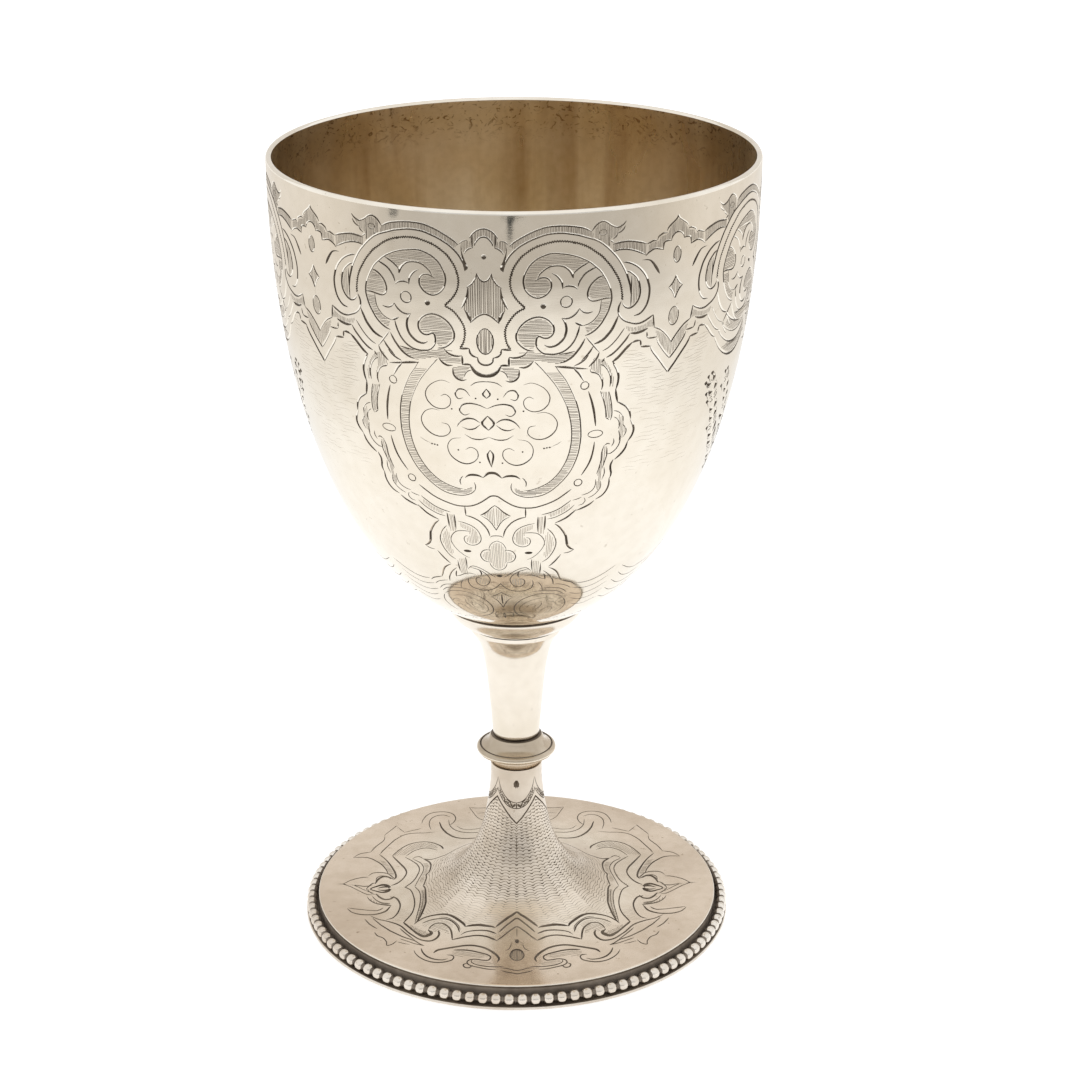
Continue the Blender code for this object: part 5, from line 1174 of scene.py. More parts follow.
def draw_foot(d, back):
    quarter = math.pi / 2
    (draw_foot_back if back else draw_foot_front)(d)
    # --- neck: hanging tongues and a zigzag collar, four round
    for turn in (0, 90):
        for side in (-1, 1):
            def across(a):
                return turn + side * a
            d.stroke([tuple(p) for p in on_neck([(across(44.5), 29.4), (across(41), 28.2), (across(35), 27.0), (across(27), 26.0), (across(18), 25.2), (across(9), 24.75), (across(-1), 24.55)])], (0.12, 0.16, 0.17), ends=(1, 0))
            d.stroke([tuple(p) for p in on_neck([(across(45.5), 27.2), (across(40), 26.1), (across(32), 25.1), (across(22), 24.2), (across(11), 23.6), (across(-1), 23.4)])], (0.13, 0.19, 0.19), ends=(0, 0))
            d.stroke([tuple(p) for p in on_neck([(across(45.5), 25.35), (across(34), 24.2), (across(22), 22.9), (across(11), 21.6), (across(-0.5), 20.4)])], 0.3, ends=(0, 0), smooth=False)
            band = on_neck([(across(42), 27.6), (across(33), 26.3), (across(22), 25.2), (across(11), 24.5), (across(1), 24.3), (across(1), 23.7),
                            (across(12), 23.9), (across(22), 24.5), (across(33), 25.4), (across(41), 26.5)])
            d.hatch([tuple(p) for p in band], 20 * side, pitch=0.3, width=0.1)
            # tangled dark cuts fill the tongue's hem, heaviest at its bottom
            d.kind = DARK
            for lane in range(3):
                at, scrawl, heavy = -1.0, [], []
                while at < 41:
                    share = d.random.uniform(0.1, 0.9)
                    high = float(np.interp(at, (0, 9, 18, 27, 35, 41), (24.55, 24.75, 25.2, 26.0, 27.0, 28.2)))
                    low = float(np.interp(at, (0, 11, 22, 32, 41), (23.4, 23.6, 24.2, 25.1, 26.3)))
                    scrawl.append((across(at), low + (high - low) * share))
                    heavy.append(float(np.interp(at, (0, 12, 30, 41), (0.27, 0.2, 0.12, 0.08))) * d.random.uniform(0.7, 1.2))
                    at += d.random.uniform(1.6, 3.4)
                d.stroke([tuple(p) for p in on_neck(scrawl)], tuple(heavy), ends=(1, 1))
            d.kind = DEEP
        d.kind = DARK
        d.dot(math.radians(turn), float(on_neck([(0, 28.5)])[0, 1]), 0.56, 0.6)
        d.stroke([tuple(p) for p in on_neck([(turn, 18.2), (turn, 16.0), (turn, 13.6)])], (0.08, 0.15, 0.06))
        d.kind = DEEP
    # --- the cone's texture: rows of low arches, with a short deep nick where two arches meet
    edge = from_above_back([(-0.4, 15.4), (3.0, 15.4), (6.0, 15.2), (9.0, 14.6), (11.0, 13.2), (12.6, 11.4), (14.3, 9.6), (16.29, 8.6), (17.44, 8.3), (18.4, 8.5), (17.5, 6.6),
                            (17.25, 5.42), (17.51, 2.65), (18.06, 1.6), (18.01, 0.13), (18.45, -2.6)]) if back else \
        from_above([(0, -15.35), (1.6, -16.5), (2.76, -17.6), (4.0, -19.05), (5.55, -18.8), (7.18, -18.3), (9.86, -18.52), (10.23, -17.74), (11.18, -16.41), (12.38, -15.01),
                       (13.81, -14.06), (15.92, -13.99), (18.02, -14.74), (18.75, -14.02), (18.13, -11.17), (17.92, -7.61), (18.0, -5.4), (18.17, -3.75), (18.55, -2.76)])
    edge = edge[np.argsort(edge[:, 0])]
    high, low = 25.35, 20.4                         # the zigzag collar's peaks and points
    peak_s = float(np.interp(-high, -FOOT.z, FOOT.s))
    calm_s = float(np.interp(-14.0, -FOOT.z, FOOT.s))
    last_s = float(np.interp(edge[:, 1].max(), FOOT_Q, FOOT.s))

    def top_s(phi):
        fold = abs((phi + math.pi / 4) % quarter - math.pi / 4) / (math.pi / 4)
        return float(np.interp(-(low + (high - low) * fold), -FOOT.z, FOOT.s))

    def low_s(phi):
        inside = -phi if phi < 0 else 2 * quarter - phi if phi > quarter else phi
        return float(np.interp(np.interp(inside, edge[:, 0], edge[:, 1]), FOOT_Q, FOOT.s))

    around = 10
    d.random.seed(41)                              # both halves start alike, so that their rows meet
    phases = [d.random.uniform(0, 6.28) for _ in range(around + 3)]
    level, row = peak_s + 0.2, 0
    while level < last_s:
        d.random.seed(500 + row)
        row += 1
        r = float(np.interp(level, FOOT.s, FOOT.r))
        calm = 1 - min(1.0, max(0.0, (level - peak_s) / (calm_s - peak_s)))
        thin = float(np.interp(r, (6, 10, 14, 20), (0.12, 0.115, 0.1, 0.085)))
        run, lift = [], float(np.interp(r, (6, 12, 20), (0.24, 0.32, 0.3)))
        nicks = []
        loose = float(np.interp(r, (6, 9, 14, 18), (0.05, 0.09, 0.2, 0.26)))
        sway = [0.0 if n in (0, around) else loose * (math.sin(phases[n] + 0.42 * level) + d.random.uniform(-0.35, 0.35)) for n in range(-1, around + 3)]
        rises = [lift * d.random.uniform(0.7, 1.25) for _ in range(around + 3)]
        shakes = [d.random.uniform(-0.05, 0.05) for _ in range(around + 3)]
        for n in range(-1, around + 2):
            rise, shake = rises[n + 1], shakes[n + 1]
            # the rows take the darker cut towards the sides, left and right, and near the neck: painted shade, the cuts
            # are no deeper there
            tone = FINE if r < 13.5 or (r < 19 and n >= around - 4) else FAINT
            if tone != d.kind and len(run) > 2:
                d.put([p[:2] for p in run], [0] + [p[2] for p in run[1:-1]] + [0])
                run = run[-1:]
            d.kind = tone
            for part, up, wide in ((0.0, 0.0, 1.3), (0.2, 0.68, 1.0), (0.42, 1.0, 0.85), (0.62, 0.96, 0.85), (0.82, 0.62, 1.0)):
                phi = (n + part + sway[n + 1] * (1 - part) + sway[n + 2] * part) * quarter / around
                s = level + 0.55 * (top_s(phi) - peak_s) * calm * calm - up * rise + shake
                if r > 9 and part:
                    s += d.random.uniform(-0.045, 0.045)
                if s < top_s(phi) + 0.3 or s > low_s(phi) - 0.25:
                    if len(run) > 2:
                        d.put([p[:2] for p in run], [0] + [p[2] for p in run[1:-1]] + [0])
                    run = []
                    continue
                run.append((phi, float(np.interp(s, FOOT.s, FOOT_Q)), 0.5 * thin * wide * d.random.uniform(0.7, 1.25)))
                if part == 0 and s > top_s(phi) + 0.45 and s < low_s(phi) - 0.4:
                    nicks.append((phi, s))
        if len(run) > 2:
            d.put([p[:2] for p in run], [0] + [p[2] for p in run[1:-1]] + [0])
        for phi, s in nicks:
            if d.random.random() < float(np.interp(r, (8, 13, 17), (0.05, 0.15, 0.55))):
                continue
            # nicks darker towards the sides and near the neck: painted shade
            d.kind = DARK if (r < 13 or phi > 0.8) and d.random.random() < 0.75 else FINE
            rr = float(np.interp(s, FOOT.s, FOOT.r))
            long = float(np.interp(r, (6, 12, 18), (0.28, 0.28, 0.2))) * d.random.uniform(0.55, 1.3)
            tall = float(np.interp(r, (6, 12, 18), (0.12, 0.12, 0.07))) * d.random.uniform(0.6, 1.25)
            q = float(np.interp(s - 0.02, FOOT.s, FOOT_Q))
            off = d.random.uniform(-0.06, 0.06) / rr
            d.put([(phi + off - long / rr, q), (phi + off, q), (phi + off + long / rr, q)], [0.25 * tall, tall, 0.25 * tall])
        d.random.seed(9000 + row)
        level += float(np.interp(r, (6, 9, 12, 17, 20), (0.70, 0.62, 0.53, 0.58, 0.62))) * d.random.uniform(0.94, 1.06)
    d.kind = DEEP


# =====================================================================
# materials
# =====================================================================

def nodes_of(name):
    material = bpy.data.materials.new(name)
    material.use_nodes = True
    tree = material.node_tree
    shader = tree.nodes["Principled BSDF"]
    return material, tree, shader


def add(tree, kind, **values):
    node = tree.nodes.new(kind)
    for key, value in values.items():
        if hasattr(node, key):
            setattr(node, key, value)
    return node


def noise(tree, coords, scale, detail=4, stretch=(1, 1, 1), distortion=0.0):
    mapping = add(tree, "ShaderNodeMapping")
    mapping.inputs["Scale"].default_value = stretch
    tree.links.new(coords, mapping.inputs["Vector"])
    node = add(tree, "ShaderNodeTexNoise")
    node.inputs["Scale"].default_value = scale
    node.inputs["Detail"].default_value = detail
    node.inputs["Distortion"].default_value = distortion
    tree.links.new(mapping.outputs["Vector"], node.inputs["Vector"])
    return node.outputs["Fac"]


def ramp(tree, value, stops):
    node = add(tree, "ShaderNodeValToRGB")
    line = node.color_ramp
    while len(line.elements) < len(stops):
        line.elements.new(0.5)
    for element, (at, colour) in zip(line.elements, stops):
        element.position = at
        element.color = (*colour, 1.0) if len(colour) == 3 else colour
    tree.links.new(value, node.inputs["Fac"])
    return node.outputs["Color"]


def mix(tree, kind, factor, a, b):
    node = add(tree, "ShaderNodeMix", data_type="RGBA", blend_type=kind)
    for socket, value in ((node.inputs["Factor"], factor), (node.inputs["A"], a), (node.inputs["B"], b)):
        if isinstance(value, (int, float)):
            socket.default_value = value
        elif isinstance(value, tuple):
            socket.default_value = (*value, 1.0)
        else:
            tree.links.new(value, socket)
    return node.outputs["Result"]


def to_range(tree, value, low, high, out_low, out_high):
    node = add(tree, "ShaderNodeMapRange")
    for key, number in (("From Min", low), ("From Max", high), ("To Min", out_low), ("To Max", out_high)):
        node.inputs[key].default_value = number
    tree.links.new(value, node.inputs["Value"])
    return node.outputs["Result"]


def combine(tree, operation, a, b):
    node = add(tree, "ShaderNodeMath", operation=operation)
    for socket, value in ((node.inputs[0], a), (node.inputs[1], b)):
        if isinstance(value, (int, float)):
            socket.default_value = value
        else:
            tree.links.new(value, socket)
    return node.outputs[0]


def silver(name, light, warm, rough=(0.1, 0.2), tarnish=0.25, wave=0.25, scratch=0.2, bands=(), painted_reflection_rings=()):
    """Hand-polished silver: warm patches of tarnish, soft waves from the hammer, fine scratches and smears.
    Bands are heights in metres that darken, as (height, half width, amount). Painted reflection rings are
    distances from the axis in metres with a tint of painted reflection there: darker round the textured neck,
    cool grey across the middle and warmer towards the plate's edge. The middle, where a texture is cut, is duller."""
    material, tree, shader = nodes_of(name)
    coords = add(tree, "ShaderNodeTexCoord").outputs["Object"]
    cloud = noise(tree, coords, 38, 5, distortion=0.4)
    fine = noise(tree, coords, 420, 3)
    spots = noise(tree, coords, 900, 2)
    colour = ramp(tree, cloud, ((0.36, warm), (0.6, light)))
    mottled = ramp(tree, fine, ((0.35, (0.93, 0.92, 0.9)), (0.62, (1, 1, 1))))
    colour = mix(tree, "MULTIPLY", tarnish * 2, colour, mottled)
    specks = ramp(tree, spots, ((0.22, (0.55, 0.5, 0.44)), (0.3, (1, 1, 1))))
    colour = mix(tree, "MULTIPLY", min(1.0, tarnish * 1.6), colour, specks)
    if bands:
        split = add(tree, "ShaderNodeSeparateXYZ")
        tree.links.new(coords, split.inputs[0])
        jitter = to_range(tree, fine, 0.3, 0.7, -0.00012, 0.00012)
        height = combine(tree, "ADD", split.outputs["Z"], jitter)
        for z, half, amount in bands:
            off = combine(tree, "ABSOLUTE", combine(tree, "SUBTRACT", height, z), 0.0)
            share = to_range(tree, off, half * 0.45, half, amount, 0.0)
            colour = mix(tree, "MIX", share, colour, (0.075, 0.055, 0.038))
    # painted reflection: rings of tint by distance from the axis
    if painted_reflection_rings:
        split = add(tree, "ShaderNodeSeparateXYZ")
        tree.links.new(coords, split.inputs[0])
        x, y = split.outputs["X"], split.outputs["Y"]
        far = combine(tree, "SQRT", combine(tree, "ADD", combine(tree, "MULTIPLY", x, x), combine(tree, "MULTIPLY", y, y)), 0.0)
        ragged = combine(tree, "ADD", far, to_range(tree, cloud, 0.3, 0.7, -0.003, 0.003))
        painted_reflection_tints = ramp(tree, combine(tree, "MULTIPLY", ragged, 20.0), [(20 * r, tint) for r, tint in painted_reflection_rings])
        colour = mix(tree, "MULTIPLY", 1.0, colour, painted_reflection_tints)
    tree.links.new(colour, shader.inputs["Base Color"])
    shader.inputs["Metallic"].default_value = 1.0
    smear = noise(tree, coords, 60, 4, stretch=(1, 1, 2.2), distortion=0.8)
    dull = to_range(tree, smear, 0.3, 0.7, rough[0], rough[1])
    if painted_reflection_rings:
        dull = combine(tree, "ADD", dull, to_range(tree, far, 0.019, 0.03, 0.16, 0.0))
    tree.links.new(dull, shader.inputs["Roughness"])
    hammer = noise(tree, coords, 70, 2, stretch=(1, 1, 1.6))
    hair = noise(tree, coords, 700, 3, stretch=(1, 1, 7), distortion=0.5)
    height = combine(tree, "ADD", combine(tree, "MULTIPLY", hammer, 1.0), combine(tree, "MULTIPLY", hair, 0.02 * scratch / 0.2))
    bump = add(tree, "ShaderNodeBump")
    bump.inputs["Strength"].default_value = wave
    bump.inputs["Distance"].default_value = 0.0004
    tree.links.new(height, bump.inputs["Height"])
    tree.links.new(bump.outputs["Normal"], shader.inputs["Normal"])
    return material


def groove(name, dark, lighter, rough=0.5, metal=0.85):
    """Tarnish that has settled in the cuts, thinner on some walls than on others. The same dark material also paints
    shade into the recess behind the beads, the bead gaps and the base ring's top under them.
    """
    material, tree, shader = nodes_of(name)
    coords = add(tree, "ShaderNodeTexCoord").outputs["Object"]
    patch = noise(tree, coords, 160, 4)
    tree.links.new(ramp(tree, patch, ((0.38, dark), (0.68, lighter))), shader.inputs["Base Color"])
    shader.inputs["Metallic"].default_value = metal
    grain = noise(tree, coords, 1500, 2)
    tree.links.new(to_range(tree, grain, 0.3, 0.7, rough - 0.1, rough + 0.1), shader.inputs["Roughness"])
    return material


def gilding(name):
    """Worn gilding: brown-gold with streaks that run down, silver showing through, and scratches near the lip."""
    material, tree, shader = nodes_of(name)
    coords = add(tree, "ShaderNodeTexCoord").outputs["Object"]
    cloud = noise(tree, coords, 26, 5, distortion=0.5)
    streak = noise(tree, coords, 130, 4, stretch=(1, 1, 0.09), distortion=0.25)
    fine = noise(tree, coords, 700, 4)
    colour = ramp(tree, cloud, ((0.36, (0.69, 0.585, 0.40)), (0.5, (0.83, 0.745, 0.58)), (0.64, (0.87, 0.81, 0.685))))
    streaks = ramp(tree, streak, ((0.33, (0.72, 0.645, 0.56)), (0.5, (1, 1, 1)), (0.72, (0.91, 0.895, 0.89))))
    colour = mix(tree, "MULTIPLY", 0.85, colour, streaks)
    split = add(tree, "ShaderNodeSeparateXYZ")
    tree.links.new(coords, split.inputs[0])
    # redder and darker towards the lip, greyer in the depth
    rising = to_range(tree, split.outputs["Z"], 0.116, 0.142, 0.0, 1.0)
    colour = mix(tree, "MULTIPLY", 1.0, colour, ramp(tree, rising, ((0.0, (1, 1, 1)), (0.95, (0.925, 0.845, 0.745)))))
    near_lip = to_range(tree, split.outputs["Z"], 0.1435, 0.149, 0.0, 1.0)
    mark = ramp(tree, noise(tree, coords, 520, 5, stretch=(1, 1, 1.4), distortion=2.2), ((0.32, (0.42, 0.34, 0.26)), (0.44, (1, 1, 1))))
    colour = mix(tree, "MULTIPLY", near_lip, colour, mark)
    colour = mix(tree, "MULTIPLY", 0.35, colour, ramp(tree, fine, ((0.35, (0.8, 0.77, 0.72)), (0.6, (1, 1, 1)))))
    tree.links.new(colour, shader.inputs["Base Color"])
    shader.inputs["Metallic"].default_value = 1.0
    smear = noise(tree, coords, 90, 4, stretch=(1, 1, 0.4))
    tree.links.new(to_range(tree, smear, 0.3, 0.7, 0.24, 0.38), shader.inputs["Roughness"])
    hair = noise(tree, coords, 900, 3, stretch=(1, 1, 0.2), distortion=0.4)
    bump = add(tree, "ShaderNodeBump")
    bump.inputs["Strength"].default_value = 0.3
    bump.inputs["Distance"].default_value = 0.0001
    tree.links.new(combine(tree, "ADD", hair, combine(tree, "MULTIPLY", cloud, 2.0)), bump.inputs["Height"])
    tree.links.new(bump.outputs["Normal"], shader.inputs["Normal"])
    return material


LIGHT = (0.86, 0.80, 0.70)
WARM = (0.80, 0.73, 0.62)
BRIGHT, CUT = ((0.93, 0.885, 0.80), (0.85, 0.79, 0.69)), ((0.055, 0.042, 0.03), (0.14, 0.112, 0.084))
bowl_silver = silver("bowl_silver", LIGHT, WARM, rough=(0.04, 0.1), wave=0.3)
bowl_cut = groove("bowl_cut", *CUT)
bowl_fine = groove("bowl_fine", (0.25, 0.215, 0.175), (0.39, 0.345, 0.285))
bowl_faint = groove("bowl_faint", (0.34, 0.295, 0.235), (0.52, 0.46, 0.38), rough=0.4)
# a brighter copy of the silver for the upper walls of the bowl's wide cuts: painted highlight
bowl_painted_highlight = silver("bowl_painted_highlight", *BRIGHT, rough=(0.22, 0.34), wave=0.05)
bowl_gilt = gilding("bowl_gilt")
lip_silver = silver("lip_silver", (0.93, 0.88, 0.79), (0.82, 0.75, 0.64), rough=(0.05, 0.11), wave=0.15)
stem_silver = silver("stem_silver", (0.86, 0.795, 0.70), (0.79, 0.72, 0.61), rough=(0.11, 0.22), wave=0.5,
                     bands=((0.0374, 0.00045, 0.9),))
knop_silver = silver("knop_silver", (0.74, 0.635, 0.51), (0.50, 0.425, 0.33), rough=(0.14, 0.28), tarnish=0.9, wave=0.9)
collar_silver = silver("collar_silver", (0.80, 0.69, 0.56), (0.66, 0.56, 0.44), rough=(0.2, 0.36), tarnish=0.6, wave=0.4)
knop_dark = groove("knop_dark", (0.12, 0.092, 0.068), (0.22, 0.175, 0.13), metal=0.5)
# its rings paint reflection into the colour: darker at the neck, cool grey in the middle, warmer at the edge
foot_silver = silver("foot_silver", (0.925, 0.822, 0.702), (0.755, 0.648, 0.532), rough=(0.09, 0.2), tarnish=0.5, wave=0.55,
                     painted_reflection_rings=((0.0105, (0.84, 0.85, 0.855)), (0.015, (0.96, 0.97, 0.975)), (0.023, (0.98, 1.0, 1.0)), (0.031, (0.93, 0.905, 0.88))))
foot_cut = groove("foot_cut", (0.095, 0.072, 0.052), (0.20, 0.16, 0.118))
foot_fine = groove("foot_fine", (0.20, 0.162, 0.118), (0.33, 0.272, 0.205))
foot_faint = groove("foot_faint", (0.42, 0.36, 0.29), (0.56, 0.49, 0.40), rough=0.4)
foot_edge = silver("foot_edge", (0.90, 0.84, 0.75), (0.80, 0.73, 0.63), rough=(0.34, 0.44), wave=0.05)
# dark brown for the recess behind the beads, the bead gaps and the foot's underside: tarnish with painted shade
border_tarnish_and_shade = groove("border_tarnish_and_shade", (0.22, 0.18, 0.142), (0.37, 0.312, 0.255), rough=0.5, metal=0.5)
# the ribs in the bead gaps, darkened to read as a dark gap: painted shade with tarnish
border_rib = groove("border_rib", (0.13, 0.104, 0.08), (0.24, 0.198, 0.156), rough=0.5, metal=0.6)
bead_silver = silver("bead_silver", (0.90, 0.85, 0.78), (0.70, 0.62, 0.53), rough=(0.12, 0.24), tarnish=0.5, wave=0.3)


# =====================================================================
# bowl
# =====================================================================

def panel_turn(s):
    """Degrees that the engraving has wandered round at this length down the bowl."""
    t = np.clip((np.asarray(s, float) - 31) / 29, 0, 1)
    return LEAN / 0.777 * t * t * (3 - 2 * t)


def build_bowl():
    columns = [HALF_PANEL * k / 22 for k in range(23)]
    s_low = float(np.interp(-65.75, -BOWL.z, BOWL.s))
    s_top = 0.62
    rows = [s_top] + list(np.linspace(s_top, s_low, 58)[1:-1]) + [s_low]
    shells = {}
    for front in (True, False):
        shell = shells[front] = Shell()
        d = Drawing(bowl_metric)
        draw_band(d, front)
        if front:
            draw_cartouche(d)
        else:
            draw_spray(d)
        flat, tris, depth, in_cut, across, kinds = cut_sheet(d, columns, rows, 1.0)
        # the upper wall of a wide cut takes a bright, untarnished silver instead of the tarnish: a painted highlight
        # along the cut
        cut_slot = np.choose(kinds, (np.where(across[:, 1] < -0.35, 2, 1), 3, 1, 4))
        r, z, nr, nz = BOWL.at(flat[:, 1])
        for panel in (0, 2) if front else (1, 3):
            for side in (1, -1):
                phi = np.radians(FRONT_AXIS + 90 * panel + panel_turn(flat[:, 1])) + side * flat[:, 0] / RIM
                sin, cos = np.sin(phi), np.cos(phi)
                rr = r - depth * nr
                points = np.column_stack([rr * sin, -rr * cos, z - depth * nz])
                smooth = np.column_stack([nr * sin, -nr * cos, nz])
                normals = smooth[tris]
                normals[in_cut] = 0
                turn = (panel // 2 * 90 + 45 + side * np.degrees(flat[:, 0] / RIM)) / 180
                u = 0.01 + 0.98 * turn
                v = 0.995 - 0.78 * (flat[:, 1] - s_top) / (s_low - s_top)
                uvs = np.stack([u[tris], v[tris]], -1)
                # each kind of cut has a strip of the map of its own
                for number, low_v in ((1, 0.18), (3, 0.145), (2, 0.11), (4, 0.075)):
                    pick = in_cut & (cut_slot == number)
                    uvs[pick] = (uvs[pick] - (0, 0.215)) * (1, 0.035) + (0, low_v)
                shell.add(points, tris, np.where(in_cut, cut_slot, 0), normals, uvs, flip=side < 0)
    # the flat triangles run anticlockwise with the length going down, which faces in: turn them all
    for shell in shells.values():
        shell.tris = [t[:, ::-1] for t in shell.tris]
        shell.normals = [n[:, ::-1] for n in shell.normals]
        shell.uvs = [u[:, ::-1] for u in shell.uvs]
    steps = 22 * 8
    angles = np.radians(FRONT_AXIS) + np.arange(steps) * 2 * math.pi / steps
    # the bottom, hidden in the stem's head
    radii = np.array([BOWL.at(s_low)[0], 11, 9, 6.5, 4, 2, 0.02])
    low = []
    for q in radii:
        share = (q / RIM) ** (1 / POWER_B)
        low.append(TIP_Z + (HEIGHT - TIP_Z) * (1 - (1 - share) ** (1 / POWER_A)))
    low[0] = float(BOWL.at(s_low)[1])
    lean = math.radians(float(panel_turn(s_low)))
    turned(shells[True], radii, low, angles + lean, 0, (0.01, 0.005, 0.99, 0.03))
    outside = [shells[front].build(name, [bowl_silver, bowl_cut, bowl_painted_highlight, bowl_fine, bowl_faint])
               for front, name in ((True, "engraved_bowl_front_and_back"), (False, "engraved_bowl_sides"))]
    # lip: from the gilt inside, over the roll, down to the engraved sheet
    lining = Shell()
    lip_z = HEIGHT - LIP / 2
    top_z = float(np.interp(s_top, BOWL.s, BOWL.z))
    a = np.radians(np.linspace(168, 12, 13))
    r = list(RIM - LIP / 2 + LIP / 2 * np.cos(a)) + [float(bowl_radius(top_z))]
    z = list(lip_z + LIP / 2 * np.sin(a)) + [top_z]
    nr = list(np.cos(a)) + [1.0]
    nz = list(np.sin(a)) + [0.0]
    turned(lining, r, z, angles, 1, (0.01, 0.90, 0.99, 0.99), normals=(np.array(nr), np.array(nz)))
    # inside, from the bottom up to the lip
    zz = np.concatenate([TIP_Z + WALL + 0.02 + np.array([0, 0.15, 0.5, 1.1, 2.0, 3.2, 4.8]), np.linspace(70.5, lip_z - 0.2, 34)])
    inner_r, inner_z = [], []
    for z0 in zz:
        s0 = np.interp(-(z0 - 0.35), -BOWL.z, BOWL.s)
        rr, z1, n_r, n_z = BOWL.at(s0)
        wall = WALL + (LIP - WALL) * max(0.0, 1 - (lip_z - z0) / 4.0)
        inner_r.append(rr - wall * n_r)
        inner_z.append(z1 - wall * n_z)
    inner_r, inner_z = np.array(inner_r), np.array(inner_z)
    good = inner_r > 1.2
    inner_r = np.concatenate([[0.02], inner_r[good], [r[0]]])
    inner_z = np.concatenate([[inner_z[good][0] - 0.15], inner_z[good], [z[0]]])
    order = np.argsort(inner_z, kind="stable")
    turned(lining, inner_r[order], inner_z[order], angles, 0, (0.01, 0.01, 0.99, 0.88))
    return outside + [lining.build("gilt_lining_and_lip", [bowl_gilt, lip_silver])]


for bowl in build_bowl():
    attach(bowl, "root")
    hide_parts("bowl")


# =====================================================================
# stem, knop and collar
# =====================================================================

def lathe_piece(name, stations, steps, materials, slot_of=None, sharp=34):
    """A closed turned piece; edges that turn more than the sharp angle keep a crisp normal."""
    pts = np.array(stations, float)
    if np.linalg.norm(pts[0] - pts[-1]) > 1e-6:
        pts = np.vstack([pts, pts[:1]])
    n = len(pts) - 1
    shell = Shell()
    angles = np.arange(steps) * 2 * math.pi / steps
    d = np.diff(pts, axis=0)
    size = np.hypot(d[:, 0], d[:, 1])
    face = np.column_stack([-d[:, 1], d[:, 0]]) / np.maximum(size, 1e-9)[:, None]
    for i in range(n):
        before, after = face[(i - 1) % n], face[(i + 1) % n]

        def blend(other, length):
            turn = math.degrees(math.acos(float(np.clip(face[i] @ other, -1, 1))))
            if turn > sharp:
                return face[i]
            v = face[i] * size[i] ** -0.5 + other * length ** -0.5
            return v / np.linalg.norm(v)

        na, nb = blend(before, size[(i - 1) % n]), blend(after, size[(i + 1) % n])
        v0 = 0.99 - 0.98 * size[:i].sum() / size.sum()
        v1 = 0.99 - 0.98 * size[:i + 1].sum() / size.sum()
        turned(shell, pts[i:i + 2, 0], pts[i:i + 2, 1], angles, slot_of[i] if slot_of else 0,
               (0.01, v1, 0.99, v0), normals=(np.array([na[0], nb[0]]), np.array([na[1], nb[1]])))
    return shell.build(name, materials)


def bowl_height_at(radius):
    share = (radius / RIM) ** (1 / POWER_B)
    return TIP_Z + (HEIGHT - TIP_Z) * (1 - (1 - share) ** (1 / POWER_A))


# the ovolo head: a fat quarter round with a fine fillet under it
top_r = 13.35
top_z = bowl_height_at(top_r) - 0.16
head = [(top_r - 0.25, top_z + 0.02), (top_r, top_z - 0.10), (top_r - 0.03, top_z - 0.20)]
for k in range(1, 15):
    t = k / 14
    r = top_r + (9.15 - top_r) * t
    z = (top_z - 0.20) + (60.95 - top_z + 0.20) * t
    bulge = 0.66 * math.sin(math.pi * t) ** 0.9
    head.append((r + bulge * 0.72, z - bulge * 0.70))
head += [(8.95, 60.87), (7.1, 60.85), (7.1, 59.3), (6.2, 59.3)]
for r in (6.2, 8, 10, 12, top_r - 0.5):
    head.append((r, bowl_height_at(r) - 0.22))
# dark solder shows in the joint under the bowl and in the one over the stem
head_slots = [1, 1] + [0] * 14 + [1, 1, 1] + [0] * 20
stem_head = lathe_piece("stem_head_turned", head, 128, [stem_silver, knop_dark], slot_of=head_slots)
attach(stem_head, "root")
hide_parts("stem_head")

STEM_STATIONS = ((8.97, 60.55), (8.93, 60.15), (8.80, 59.75), (8.40, 59.18), (7.93, 58.5), (7.48, 57.75), (7.10, 57.0), (6.80, 56.2), (6.55, 55.3),
                 (6.34, 54.4), (6.05, 53.0), (5.58, 49.5), (5.18, 45.5), (4.82, 41.5), (4.52, 37.55))
outer = smooth_stations([(z, r) for r, z in STEM_STATIONS], 4)[:, ::-1]
outer = [(8.9, 60.74), (8.98, 60.68)] + [tuple(q) for q in outer] + [(4.46, 37.42)]
inner = [(q[0] - 0.65, q[1]) for q in outer[3:-1] if q[1] < 58]
stem = lathe_piece("stem_turned", outer + [(3.85, 37.42)] + inner[::-1] + [(7.2, 60.74)], 112, [stem_silver, knop_dark],
                   slot_of=[1] + [0] * 400)
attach(stem, "root")
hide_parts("stem")

# the knop: a flared collar dished into a groove, then a round edge that overhangs a hollow
knop_points = [(3.4, 40.2), (3.4, 37.32), (4.55, 37.32), (4.95, 37.22), (5.1, 37.02)]
knop_slots = [1, 1, 1, 0]
for k in range(1, 9):
    t = k / 8
    r = 5.1 + (6.78 - 5.1) * t
    z = 37.02 + (35.12 - 37.02) * t
    sag = 0.26 * math.sin(math.pi * t)
    knop_points.append((r - sag * 0.75, z - sag * 0.65))
    knop_slots.append(0)
knop_points += [(6.86, 34.92), (6.97, 34.9), (7.06, 35.06)]
knop_slots += [1, 1, 1]
for k in range(0, 13):
    a = math.radians(78 - 153 * k / 12)
    knop_points.append((6.98 + 0.72 * math.cos(a), 34.38 + 0.72 * math.sin(a)))
    knop_slots.append(1 if k == 0 else 2 if a < math.radians(-8) else 0)
for q, s in (((6.5, 33.62), 0), ((5.9, 33.52), 0), ((5.3, 33.5), 0), ((4.85, 33.42), 0), ((3.4, 33.4), 1), ((3.4, 29.6), 1), ((1.4, 29.6), 1), ((1.4, 40.2), 1)):
    knop_points.append(q)
    knop_slots.append(s)
knop_slots.append(1)
knop = lathe_piece("knop_turned", knop_points, 112, [knop_silver, knop_dark, lip_silver], slot_of=knop_slots)
